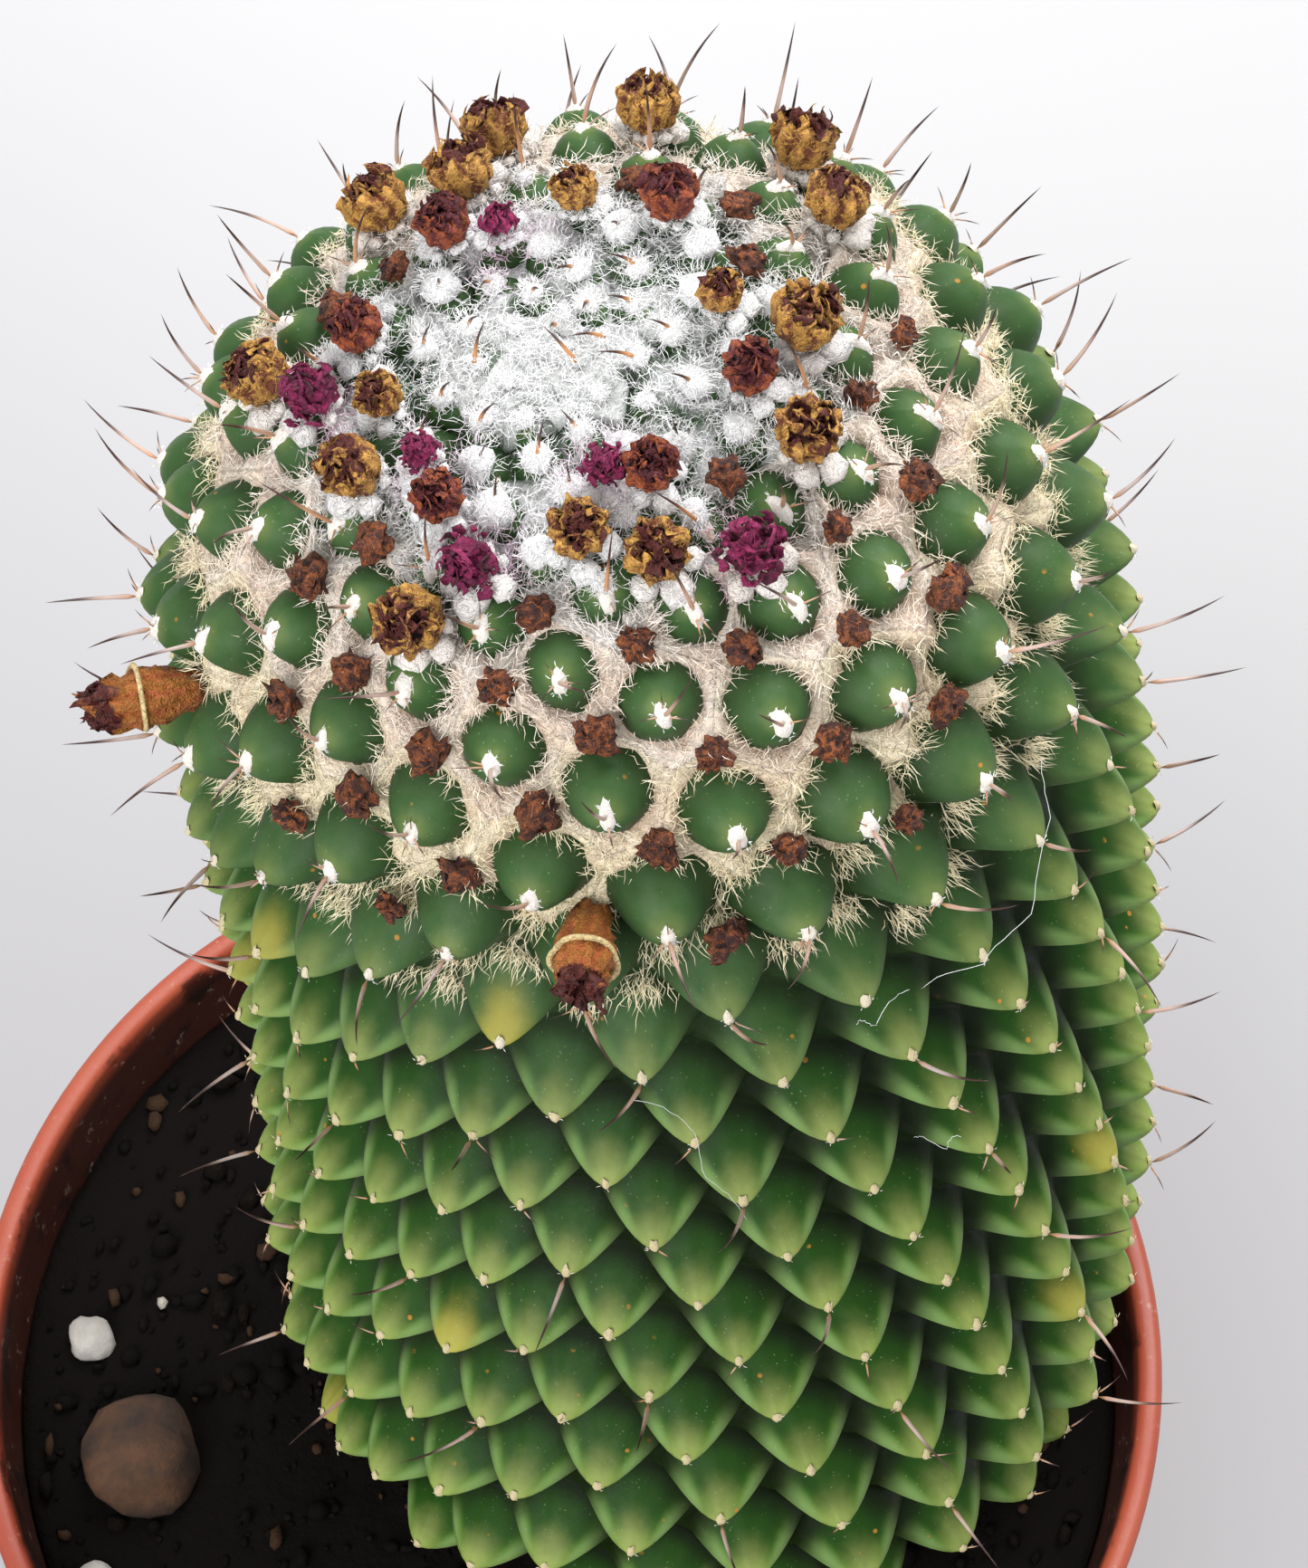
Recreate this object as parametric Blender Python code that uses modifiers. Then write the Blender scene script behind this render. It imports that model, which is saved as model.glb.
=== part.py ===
"""A mammillaria in a plastic nursery pot, in metres, +Z up, origin at the centre of the pot's foot.

The stem is one grown body: its tubercles stand in opposite pairs that turn on down the stem, so that
they make spirals, each on its own cell of the surface and most of the upper ones with a central spine.
Wool fills the crown and the axils between the tubercles of the head, and dried flowers, flower remains
and two dried fruits stand in the axils.
"""

import math
import random

import bmesh
import bpy
import numpy as np
from mathutils import Matrix, Vector, geometry, noise

# Pot
POT_HEIGHT = 0.115
RIM_RADIUS = 0.065
FOOT_RADIUS = 0.046
WALL = 0.0018
FLOOR = 0.0026
COLLAR_HEIGHT = 0.017
COLLAR_STEP = 0.0016
EDGE_ROUND = 0.0007
FOOT_ROUND = 0.0015
POT_SIDES = 44
DRAIN_COUNT = 5
DRAIN_RADIUS = 0.0045
DRAIN_CIRCLE = 0.028

# Soil and the loose stones on it
SOIL_LEVEL = 0.105
SOIL_RELIEF = 0.0008
SOIL_RINGS = (1.0, 0.92, 0.80, 0.66, 0.52)
STONES = (
    (-0.0465, -0.0080, 0.0066, "clay stone"),
    (-0.0527, 0.0065, 0.0026, "pale stone"),
    (-0.0513, -0.0215, 0.0019, "pale stone"),
    (-0.0385, -0.0325, 0.0022, "pale stone"),
)
STONE_BUMP = 0.22
STONE_FLATNESS = 0.72
STONE_SUNK = 0.25
STONE_CLEARANCE = 0.0005
LARGE_STONE = 0.004
GAP = 0.0004

# Stem: its valleys, before the tubercles rise from them
STEM_FOOT = Vector((0.0137, 0.0085, SOIL_LEVEL))
SHOULDER = 0.144
DOME_HEIGHT = 0.0436
DOME_POWER = 2.3
HEAD_RADIUS = 0.0402
BODY_RADIUS = 0.0403
FOOT_STEM_RADIUS = 0.0358
FOOT_TAPER = 0.030
BASE_LEAN = 0.043
CROWN_LEAN = 0.252
CROWN_POWER = 1.25
BACK_LEAN = 0.077
LEAN_LENGTH = 0.191
BURIED = 0.010
ROOT_DEPTH = 0.018
ROOT_CLEARANCE = 0.0012
LOWEST_AXIL = 0.001

# Tubercles: they stand in opposite pairs, and their cells grow along the arc from the growing point
PAIR_TURN = math.radians(68.91)
FIRST_TURN = math.radians(160)
CELL_ARC = (0.0, 0.010, 0.020, 0.030, 0.045, 0.070, 0.110, 0.190)
CELL_AREA = (12e-6, 19e-6, 40e-6, 71e-6, 98e-6, 125e-6, 119e-6, 150e-6)
RISE_ARC = (0.0, 0.010, 0.018, 0.028, 0.050)
RISE = (0.0006, 0.0018, 0.0036, 0.0062, 0.0070)
DROOP_ARC = (0.030, 0.048, 0.070)
DROOP = (0.0003, 0.0016, 0.0028)
CAP_END = 0.0190
WOOL_END = 0.056
HEAD_END = 0.062
SHORT_EDGE = 0.0013
KNOB_SHOULDER = (0.70, 0.60)
KNOB_TOP = 0.30
PYRAMID_TOP = 0.22
SPINE_LENGTH = 0.0095
SPINE_RADIUS = 0.00042
SPINE_SEAT = 0.0003
SPINE_RISE_TURN = (-0.55, 0.15)
SPINE_SIDE_TURN = 0.35
SPINE_CURL = 2.2
BODY_SPINES_EVERY = 4
LOWEST_SPINE = 0.122

# Wool
WOOL_ARC = (0.0, 0.010, 0.0215, 0.030, 0.046, 0.056)
WOOL_RISE = (0.0030, 0.0034, 0.0042, 0.0042, 0.0036, 0.0028)
AXIL_FLOOR = 0.0014
TUFT_RISE = 0.0056
KNOT_SHARE = 0.6
KNOT_RISE = 0.0012
NET_SAG = 0.85
FLANK_CLEARANCE = 0.00054

# What stands in the axils, by the tubercle just below, counted down from the growing point
BUDS = (44, 46, 47, 48, 49, 50, 51, 52, 53, 55, 57, 63, 64, 65, 68, 74, 77, 79, 81, 83, 86, 93)
WITHERED = (38, 39, 40, 60, 62, 75)
REMAINS = (59, 66, 67, 70, 80, 82, 87, 90, 92, 95, 97, 102, 107, 109, 110, 112, 119, 122, 127, 129, 132, 149)
FRUITS = (139, 141)
BUD_GROWTH_ARC = (0.0140, 0.0185)
BUD_GROWTH = (0.72, 1.0)
BUD_RADIUS = 0.0027
FRUIT_LENGTH = 0.0115
SEED = 7

# Their outlines as (radius, height), in bud radii, and the fruit's in metres and shares of its length
BUD_OUTLINE = ((0.45, 0.0), (0.95, 0.45), (1.0, 1.15), (0.62, 1.95))
PETAL_OUTLINE = ((0.35, 0.0), (1.15, 0.55), (0.95, 1.0))
REMAIN_OUTLINE = ((0.45, 0.0), (0.80, 0.55), (0.55, 1.25))
FRUIT_OUTLINE = ((0.0011, 0.0), (0.0018, 0.35), (0.0031, 0.60), (0.0033, 0.66), (0.0026, 0.72), (0.0017, 1.0))
RAGGED = 0.0006
CUP_DEPTH = 0.86

COLOURS = {
    "terracotta plastic": (0.36, 0.09, 0.045, 0.45),
    "soil": (0.035, 0.026, 0.020, 0.95),
    "cactus green": (0.075, 0.19, 0.055, 0.55),
    "wool": (0.84, 0.80, 0.74, 0.95),
    "dried bud": (0.33, 0.13, 0.03, 0.75),
    "withered magenta": (0.28, 0.02, 0.09, 0.75),
    "flower remains": (0.13, 0.035, 0.015, 0.85),
    "dried fruit": (0.38, 0.14, 0.03, 0.6),
    "pale stone": (0.52, 0.49, 0.44, 0.9),
    "clay stone": (0.34, 0.15, 0.055, 0.9),
}


def clear_scene():
    for obj in list(bpy.data.objects):
        bpy.data.objects.remove(obj)


def new_collection(name):
    collection = bpy.data.collections.new(name)
    bpy.context.scene.collection.children.link(collection)
    return collection


def material(name):
    made = bpy.data.materials.get(name)
    if made is None:
        made = bpy.data.materials.new(name)
        made.use_nodes = True
        red, green, blue, roughness = COLOURS[name]
        shader = made.node_tree.nodes["Principled BSDF"]
        shader.inputs["Base Color"].default_value = (red, green, blue, 1)
        shader.inputs["Roughness"].default_value = roughness
        shader.inputs["Metallic"].default_value = 0
    return made


def add_object(name, bm, colour, collection, smooth=None):
    """A mesh object from a bmesh, with its material, shaded smooth under the angle given."""
    bmesh.ops.recalc_face_normals(bm, faces=bm.faces)
    if bm.calc_volume(signed=True) < 0:
        bmesh.ops.reverse_faces(bm, faces=bm.faces)
    mesh = bpy.data.meshes.new(name)
    bm.to_mesh(mesh)
    bm.free()
    if smooth:
        mesh.shade_smooth()
        mesh.set_sharp_from_angle(angle=smooth)
    obj = bpy.data.objects.new(name, mesh)
    collection.objects.link(obj)
    mesh.materials.append(material(colour))
    return obj


def cut_by(obj, cutters):
    """Cuts every mesh of the cutters' collection out of the object."""
    cut = obj.modifiers.new("holes", "BOOLEAN")
    cut.operation = "DIFFERENCE"
    cut.operand_type = "COLLECTION"
    cut.collection = cutters


# The pot, turned from one profile


def pot_outline():
    """The pot's section, up the outside, over the rim and down the inside."""
    body_top = POT_HEIGHT - COLLAR_HEIGHT
    slope = (RIM_RADIUS - COLLAR_STEP - FOOT_RADIUS) / POT_HEIGHT
    outside_at_collar = FOOT_RADIUS + slope * body_top
    inner_rim = RIM_RADIUS - COLLAR_STEP - WALL + EDGE_ROUND
    return [
        (0, 0),
        (FOOT_RADIUS - FOOT_ROUND, 0),
        (FOOT_RADIUS, FOOT_ROUND),
        (outside_at_collar, body_top),
        (outside_at_collar + COLLAR_STEP, body_top + EDGE_ROUND * 2),
        (RIM_RADIUS, POT_HEIGHT - EDGE_ROUND),
        (RIM_RADIUS - EDGE_ROUND, POT_HEIGHT),
        (inner_rim + EDGE_ROUND, POT_HEIGHT),
        (inner_rim, POT_HEIGHT - EDGE_ROUND),
        (outside_at_collar - WALL, body_top),
        (FOOT_RADIUS - WALL, FLOOR),
        (0, FLOOR),
    ]


def inner_radius(height):
    """The pot's inside radius at a height above its foot."""
    outline = pot_outline()
    inside = sorted((z, r) for r, z in outline[8:11])
    return float(np.interp(height, [z for z, _ in inside], [r for _, r in inside]))


def turned(name, outline, colour, collection):
    """A solid of revolution: the outline turned about Z by a Screw modifier."""
    mesh = bpy.data.meshes.new(name)
    points = [(radius, 0, height) for radius, height in reversed(outline)]
    edges = [(i, i + 1) for i in range(len(points) - 1)]
    mesh.from_pydata(points, edges, [])
    obj = bpy.data.objects.new(name, mesh)
    collection.objects.link(obj)
    screw = obj.modifiers.new("turn", "SCREW")
    screw.steps = screw.render_steps = POT_SIDES
    screw.use_merge_vertices = True
    screw.merge_threshold = 0.00001
    screw.use_smooth_shade = True
    mesh.materials.append(material(colour))
    return obj


def make_pot(parts, helpers):
    pot = turned("pot", pot_outline(), "terracotta plastic", parts)
    drains = bpy.data.collections.new("drains")
    helpers.children.link(drains)
    for i in range(DRAIN_COUNT):
        turn = 2 * math.pi * i / DRAIN_COUNT
        bm = bmesh.new()
        bmesh.ops.create_cone(
            bm, cap_ends=True, segments=12, radius1=DRAIN_RADIUS, radius2=DRAIN_RADIUS, depth=4 * FLOOR
        )
        place = Vector((math.cos(turn), math.sin(turn), 0)) * DRAIN_CIRCLE
        bm.transform(Matrix.Translation(place))
        hide_helper(add_object(f"drain_cutter_{i}", bm, "soil", drains))
    cut_by(pot, drains)


def hide_helper(obj):
    obj.hide_render = True
    obj.display_type = "WIRE"
    return obj


# The stem's surface


def smooth_step(low, high, x):
    t = np.clip((x - low) / (high - low), 0, 1)
    return t * t * (3 - 2 * t)


def stem_profile():
    """Arc length from the growing point, radius and height above the soil, down the stem's side."""
    turn = np.linspace(0, math.pi / 2, 160)
    power = 2 / DOME_POWER
    height = np.linspace(SHOULDER, -BURIED, 210)[1:]
    taper = smooth_step(0, FOOT_TAPER, height)
    body = BODY_RADIUS + (HEAD_RADIUS - BODY_RADIUS) * height / SHOULDER
    radius = FOOT_STEM_RADIUS + (body - FOOT_STEM_RADIUS) * taper
    radius = np.concatenate([HEAD_RADIUS * np.sin(turn) ** power, radius])
    height = np.concatenate([SHOULDER + DOME_HEIGHT * np.cos(turn) ** power, height])
    arc = np.concatenate([[0], np.cumsum(np.hypot(np.diff(radius), np.diff(height)))])
    return arc, radius, height


ARC, RADIUS, HEIGHT = stem_profile()
OUTWARD = (-np.gradient(HEIGHT, ARC), np.gradient(RADIUS, ARC))
SPREAD = np.concatenate([[0], np.cumsum(np.diff(ARC) / np.maximum((RADIUS[1:] + RADIUS[:-1]) / 2, 1e-4))])


def leaning(radius, turn, height):
    """A point of the upright stem moved to where the leaning stem has it."""
    share = max(height / LEAN_LENGTH, 0)
    grown = CROWN_LEAN * share**CROWN_POWER
    side = BASE_LEAN * height - grown * height / (CROWN_POWER + 1)
    along = Vector((BASE_LEAN - grown, BACK_LEAN, 1)).normalized()
    back = along.cross(Vector((1, 0, 0))).normalized()
    right = back.cross(along)
    centre = STEM_FOOT + Vector((side, BACK_LEAN * height, height))
    return centre + radius * (math.cos(turn) * right + math.sin(turn) * back)


def on_stem(arc, turn, lift=0.0):
    """The point of the stem's surface at an arc length and turn, lifted off it along its normal."""
    radius = np.interp(arc, ARC, RADIUS) + lift * np.interp(arc, ARC, OUTWARD[0])
    height = np.interp(arc, ARC, HEIGHT) + lift * np.interp(arc, ARC, OUTWARD[1])
    return leaning(float(radius), turn, float(height))


def phyllotaxis():
    """Arc length and turn of every tubercle: opposite pairs, each turned on from the one above."""
    area = np.interp(ARC, CELL_ARC, CELL_AREA)
    per_arc = 2 * math.pi * RADIUS / area
    count = np.concatenate([[0], np.cumsum((per_arc[1:] + per_arc[:-1]) / 2 * np.diff(ARC))])
    pair, member = np.divmod(np.arange(int(count[-1])), 2)
    return np.interp(2 * pair + 1, count, ARC), FIRST_TURN - pair * PAIR_TURN + member * math.pi


def circumcentre(a, b, c):
    ab, ac = b - a, c - a
    twice = 2 * ab.cross(ac)
    across = Vector((ac.y, -ac.x)) * ab.length_squared - Vector((ab.y, -ab.x)) * ac.length_squared
    return a + across / twice


def stem_cells():
    """Each tubercle's (arc, turn), each axil's (arc, turn), and the ring of axils round each tubercle.

    The surface is laid flat by the map that keeps its angles, where the cells are Voronoi cells.
    """
    arcs, turns = phyllotaxis()
    scale = np.exp(np.interp(arcs, ARC, SPREAD) - SPREAD[-1])
    flat = [Vector((r * math.cos(t), r * math.sin(t))) for r, t in zip(scale, turns)]
    _, _, triangles, _, _, _ = geometry.delaunay_2d_cdt(flat, [], [], 0, 1e-9)
    axils, around = [], {}
    for corners in triangles:
        middle = circumcentre(*(flat[c] for c in corners))
        arc = float(np.interp(math.log(max(middle.length, 1e-9)) + SPREAD[-1], SPREAD, ARC))
        for c in corners:
            around.setdefault(c, []).append(len(axils))
        axils.append((arc, math.atan2(middle.y, middle.x), middle))
    high = [on_stem(arc, turn).z > SOIL_LEVEL + LOWEST_AXIL for arc, turn, _ in axils]
    rings = {}
    for cell, ring in around.items():
        if not all(high[a] for a in ring):
            continue
        centre = flat[cell]
        ring.sort(key=lambda a: math.atan2(axils[a][2].y - centre.y, axils[a][2].x - centre.x))
        rings[cell] = ring
    merged = merge_short_edges(axils, rings)
    places = [(arc, turn) for arc, turn, _ in axils]
    for cell, ring in rings.items():
        joined = [merged[a] for a in ring]
        rings[cell] = [a for i, a in enumerate(joined) if a != joined[i - 1]]
    return list(zip(arcs, turns)), places, rings


def merge_short_edges(axils, rings):
    """Joins two axils that nearly touch, each axil at most once, so that cells lose their slivers."""
    places = [on_stem(arc, turn) for arc, turn, _ in axils]
    merged = list(range(len(axils)))
    taken = set()
    for ring in rings.values():
        for i, a in enumerate(ring):
            b = ring[i - 1]
            if a in taken or b in taken or (places[a] - places[b]).length > SHORT_EDGE:
                continue
            taken |= {a, b}
            merged[b] = a
    return merged


class Cell:
    """One tubercle's cell: its middle, its axes, and its ring of axils on the surface."""

    def __init__(self, place, ring, axils):
        self.arc, self.turn = place
        self.ring = ring
        self.middle = on_stem(*place)
        self.out = (on_stem(*place, lift=0.001) - self.middle).normalized()
        below = on_stem(self.arc + 0.001, self.turn)
        self.down = (below - self.middle).normalized()
        self.corners = [on_stem(*axils[a]) for a in ring]
        self.rise = float(np.interp(self.arc, RISE_ARC, RISE))
        self.droop = float(np.interp(self.arc, DROOP_ARC, DROOP))
        self.axil = min(ring, key=lambda a: axils[a][0])

    def point(self, lift):
        """A point over the cell's middle, drooping down the stem as it rises."""
        return self.middle + self.out * lift + self.down * self.droop * (lift / self.rise) ** 2

    def loop(self, share, lift):
        """The ring of corners drawn in to a share of its size and lifted off the stem."""
        return [self.point(lift) + (c - self.middle) * share for c in self.corners]


def strip(bm, low, high):
    """Quads between two closed loops of as many vertices."""
    for i in range(len(low)):
        bm.faces.new((low[i - 1], low[i], high[i], high[i - 1]))


def fan(bm, loop, point):
    tip = bm.verts.new(point)
    for i in range(len(loop)):
        bm.faces.new((loop[i - 1], loop[i], tip))


def grow_spine(bm, cell, loop, rng):
    """A three-sided curved spine out of a tubercle's top."""
    side = cell.out.cross(cell.down)
    lean = cell.down * rng.uniform(*SPINE_RISE_TURN) + side * rng.uniform(-SPINE_SIDE_TURN, SPINE_SIDE_TURN)
    half = SPINE_LENGTH * rng.uniform(0.8, 1.1) / 2
    way = (cell.out + lean).normalized()
    bend = (cell.out + lean * SPINE_CURL).normalized()
    foot = cell.point(cell.rise + SPINE_SEAT)
    middle = foot + way * half
    rings = []
    for place, radius in ((foot, SPINE_RADIUS), (middle, SPINE_RADIUS * 0.8)):
        corners = (math.cos(a) * side + math.sin(a) * cell.down for a in spine_angles(cell, loop))
        rings.append([bm.verts.new(place + radius * corner) for corner in corners])
    tip = bm.verts.new(middle + bend * half)
    count = len(loop)
    for i in range(count):
        corner, following = 3 * i // count, 3 * (i + 1) // count % 3
        bm.faces.new((loop[i], loop[(i + 1) % count], rings[0][corner]))
        if following != corner:
            bm.faces.new((loop[(i + 1) % count], rings[0][following], rings[0][corner]))
    strip(bm, rings[0], rings[1])
    for i in range(3):
        bm.faces.new((rings[1][i - 1], rings[1][i], tip))


def spine_angles(cell, loop):
    """Where a spine's three corners stand, each facing the third of the loop that joins it."""
    side = cell.out.cross(cell.down)
    angles = []
    for third in range(3):
        arm = loop[min(int((third + 0.5) * len(loop) / 3), len(loop) - 1)].co - cell.middle
        angles.append(math.atan2(arm.dot(cell.down), arm.dot(side)))
    return angles


def make_stem(parts, cells, axils):
    """The stem with its tubercles and spines, closed below by a root cone that stands in the soil."""
    rng = random.Random(SEED)
    bm = bmesh.new()
    floor = {a: bm.verts.new(on_stem(*axils[a])) for cell in cells.values() for a in cell.ring}
    for number, cell in cells.items():
        base = [floor[a] for a in cell.ring]
        if cell.arc < CAP_END:
            fan(bm, base, cell.point(cell.rise))
            continue
        if cell.arc < WOOL_END:
            share, height = KNOB_SHOULDER
            shoulder = [bm.verts.new(p) for p in cell.loop(share, cell.rise * height)]
            top = [bm.verts.new(p) for p in cell.loop(KNOB_TOP, cell.rise)]
            strip(bm, base, shoulder)
            strip(bm, shoulder, top)
        else:
            top = [bm.verts.new(p) for p in cell.loop(PYRAMID_TOP, cell.rise)]
            strip(bm, base, top)
        if has_spine(number, cell):
            grow_spine(bm, cell, top, rng)
        else:
            bm.faces.new(top)
    close_root(bm)
    add_object("stem", bm, "cactus green", parts, smooth=math.radians(40))


def has_spine(number, cell):
    """Every tubercle of the head keeps its spine, and few of the old ones below."""
    if cell.arc < HEAD_END:
        return True
    return number % BODY_SPINES_EVERY == 0 and cell.middle.z > LOWEST_SPINE


def close_root(bm):
    """Draws the open lower edge together to the root's point."""
    point = bm.verts.new(STEM_FOOT - Vector((0, 0, ROOT_DEPTH)))
    for edge in [e for e in bm.edges if len(e.link_faces) == 1]:
        bm.faces.new((*edge.verts, point))


# Wool


def wool_rise(arc):
    return float(np.interp(arc, WOOL_ARC, WOOL_RISE))


def make_wool(parts, cells, axils, tufts):
    """One woolly body: a cap of knots over the crown, and a net in the axils round the tubercles."""
    woolly = {n: cell for n, cell in cells.items() if cell.arc < WOOL_END}
    bm = bmesh.new()
    upper, lower = {}, {}
    for cell in woolly.values():
        for a in cell.ring:
            if a in upper:
                continue
            arc, turn = axils[a]
            top = TUFT_RISE if a in tufts else wool_rise(arc)
            under = GAP if arc < CAP_END else AXIL_FLOOR
            upper[a] = bm.verts.new(on_stem(arc, turn, top))
            lower[a] = bm.verts.new(on_stem(arc, turn, under))
    for cell in woolly.values():
        above = [upper[a] for a in cell.ring]
        below = [lower[a] for a in cell.ring]
        if cell.arc < CAP_END:
            under = cell.rise + GAP * 2
            top = max(wool_rise(cell.arc), under)
            knot = [bm.verts.new(p) for p in cell.loop(KNOT_SHARE, top + KNOT_RISE / 2)]
            strip(bm, above, knot)
            fan(bm, knot, cell.point(top + KNOT_RISE))
            fan(bm, below, cell.point(under))
        else:
            share, height = KNOB_SHOULDER
            lift = min(wool_rise(cell.arc) * NET_SAG, cell.rise * height)
            flank = 1 - (1 - share) * lift / (cell.rise * height)
            edge = [bm.verts.new(p) for p in edge_loop(cell, flank, lift)]
            strip(bm, above, edge)
            strip(bm, below, edge)
    close_rim(bm, upper, lower, woolly)
    return add_object("wool", bm, "wool", parts, smooth=math.radians(50))


def edge_loop(cell, flank, lift):
    """Where the wool meets a tubercle's flank, a gap clear of it."""
    arms = [c - cell.middle for c in cell.corners]
    return [cell.point(lift) + arm * (flank + FLANK_CLEARANCE / arm.length) for arm in arms]


def close_rim(bm, upper, lower, woolly):
    """The wall between the wool's upper and lower edges, round its outer rim."""
    sides = {(cell.ring[i - 1], a) for cell in woolly.values() for i, a in enumerate(cell.ring)}
    for a, b in sorted(sides):
        if (b, a) not in sides:
            bm.faces.new((upper[a], upper[b], lower[b], lower[a]))


# Dried flowers


def axil_frame(axil, lift, spin):
    """A matrix that stands a piece in an axil, its Z along the stem's normal."""
    place = on_stem(*axil, lift=lift)
    out = (on_stem(*axil, lift=lift + 0.001) - place).normalized()
    turn = Vector((0, 0, 1)).rotation_difference(out).to_matrix().to_4x4()
    return Matrix.Translation(place) @ turn @ Matrix.Rotation(spin, 4, "Z")


def dried_piece(name, colour, frame, outline, sides, rib, rng, parts):
    """A dried bud, flower or fruit: a sphere's rings drawn to an outline, ribbed, with a torn top."""
    bm = bmesh.new()
    bmesh.ops.create_uvsphere(bm, u_segments=sides, v_segments=len(outline) + 1, radius=1)
    heights = sorted({round(v.co.z, 4) for v in bm.verts})
    top = outline[-1][1]
    for v in bm.verts:
        level = heights.index(round(v.co.z, 4))
        if level == 0:
            v.co = (0, 0, outline[0][1])
            continue
        if level == len(outline) + 1:
            v.co = (0, 0, top * CUP_DEPTH)
            continue
        radius, height = outline[level - 1]
        turn = math.atan2(v.co.y, v.co.x)
        ridge = 1 + rib * math.cos(round(turn * sides / (2 * math.pi)) * math.pi)
        rough = rng.uniform(-1, 1) * RAGGED if level == len(outline) else 0
        v.co = (radius * ridge * math.cos(turn), radius * ridge * math.sin(turn), height + rough)
    bm.transform(frame)
    add_object(name, bm, colour, parts, smooth=math.radians(35))


def make_flowers(parts, axils, buds, withered, remains):
    rng = random.Random(SEED + 2)
    kinds = (
        ("dried_bud", "dried bud", buds, BUD_OUTLINE, 8, 0.07),
        ("withered_flower", "withered magenta", withered, PETAL_OUTLINE, 10, 0.16),
        ("flower_remains", "flower remains", remains, REMAIN_OUTLINE, 6, 0.12),
    )
    for name, colour, chosen, outline, sides, rib in kinds:
        for i, a in enumerate(chosen):
            arc = axils[a][0]
            seat = wool_rise(arc) if chosen is remains else TUFT_RISE
            frame = axil_frame(axils[a], seat + GAP, rng.uniform(0, math.pi))
            size = BUD_RADIUS * float(np.interp(arc, BUD_GROWTH_ARC, BUD_GROWTH)) * rng.uniform(0.9, 1.06)
            sized = [(r * size, h * size) for r, h in outline]
            dried_piece(f"{name}_{i + 1:02d}", colour, frame, sized, sides, rib, rng, parts)


def make_fruits(parts, axils, chosen):
    """Two dried clubs: a slim foot in the wool, a swollen body, a ring and a shrivelled flower."""
    rng = random.Random(SEED + 3)
    sized = [(r, share * FRUIT_LENGTH) for r, share in FRUIT_OUTLINE]
    for i, a in enumerate(chosen):
        frame = axil_frame(axils[a], wool_rise(axils[a][0]) + GAP, 0.4)
        dried_piece(f"dried_fruit_{i + 1:02d}", "dried fruit", frame, sized, 8, 0.03, rng, parts)


# Soil and stones


def stone_shape(index, radius, grow=0.0):
    """A rounded, slightly flattened stone, or the same grown by a clearance."""
    bm = bmesh.new()
    bmesh.ops.create_icosphere(bm, subdivisions=2 if radius > LARGE_STONE else 1, radius=1)
    for v in bm.verts:
        bump = 1 + STONE_BUMP * noise.noise(v.co * 1.3 + Vector((index * 3.1, 0, 0)))
        v.co *= radius * bump + grow
        v.co.z *= STONE_FLATNESS
    return bm


def make_stones(parts, cutters):
    for i, (x, y, radius, colour) in enumerate(STONES):
        place = Matrix.Translation((x, y, SOIL_LEVEL + radius * STONE_SUNK))
        stone = stone_shape(i, radius)
        stone.transform(place)
        add_object(f"stone_{i + 1:02d}", stone, colour, parts, smooth=math.radians(60))
        seat = stone_shape(i, radius, STONE_CLEARANCE)
        seat.transform(place)
        hide_helper(add_object(f"stone_seat_{i + 1:02d}", seat, colour, cutters))


def make_soil(parts, helpers):
    """The soil that fills the pot, uneven on top, with a plain hole for the root and a seat for each stone."""
    seats = bpy.data.collections.new("soil seats")
    helpers.children.link(seats)
    make_stones(parts, seats)
    bm = bmesh.new()
    below = [(inner_radius(height) - GAP * 2, height) for height in (FLOOR + GAP, POT_HEIGHT - COLLAR_HEIGHT)]
    edge = inner_radius(SOIL_LEVEL) - GAP * 2
    levels = below + [(edge * share, SOIL_LEVEL) for share in SOIL_RINGS]
    rings = [
        [bm.verts.new(soil_point(radius, 2 * math.pi * i / POT_SIDES, height)) for i in range(POT_SIDES)]
        for radius, height in levels
    ]
    for low, high in zip(rings, rings[1:]):
        strip(bm, low, high)
    fan(bm, rings[0], (0, 0, FLOOR + GAP))
    fan(bm, rings[-1], (0, 0, SOIL_LEVEL))
    soil = add_object("soil", bm, "soil", parts, smooth=math.radians(30))
    hide_helper(add_object("root_hole", root_hole(), "soil", seats))
    cut_by(soil, seats)


def root_hole():
    """The cone that the stem's foot stands in, a little wider than the foot."""
    bm = bmesh.new()
    deep = ROOT_DEPTH + ROOT_CLEARANCE
    above = SOIL_RELIEF * 2
    widening = FOOT_STEM_RADIUS / (ROOT_DEPTH + LOWEST_AXIL)
    mouth = ROOT_CLEARANCE + widening * (deep + above)
    bmesh.ops.create_cone(
        bm, cap_ends=True, segments=32, radius1=ROOT_CLEARANCE, radius2=mouth, depth=deep + above
    )
    bm.transform(Matrix.Translation(STEM_FOOT + Vector((0, 0, (above - deep) / 2))))
    return bm


def soil_point(radius, turn, height):
    """A point of the soil, its top raised and sunk a little by a noise."""
    place = Vector((radius * math.cos(turn), radius * math.sin(turn), height))
    if height == SOIL_LEVEL:
        place.z += SOIL_RELIEF * noise.noise(place * 60)
    return place


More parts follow.
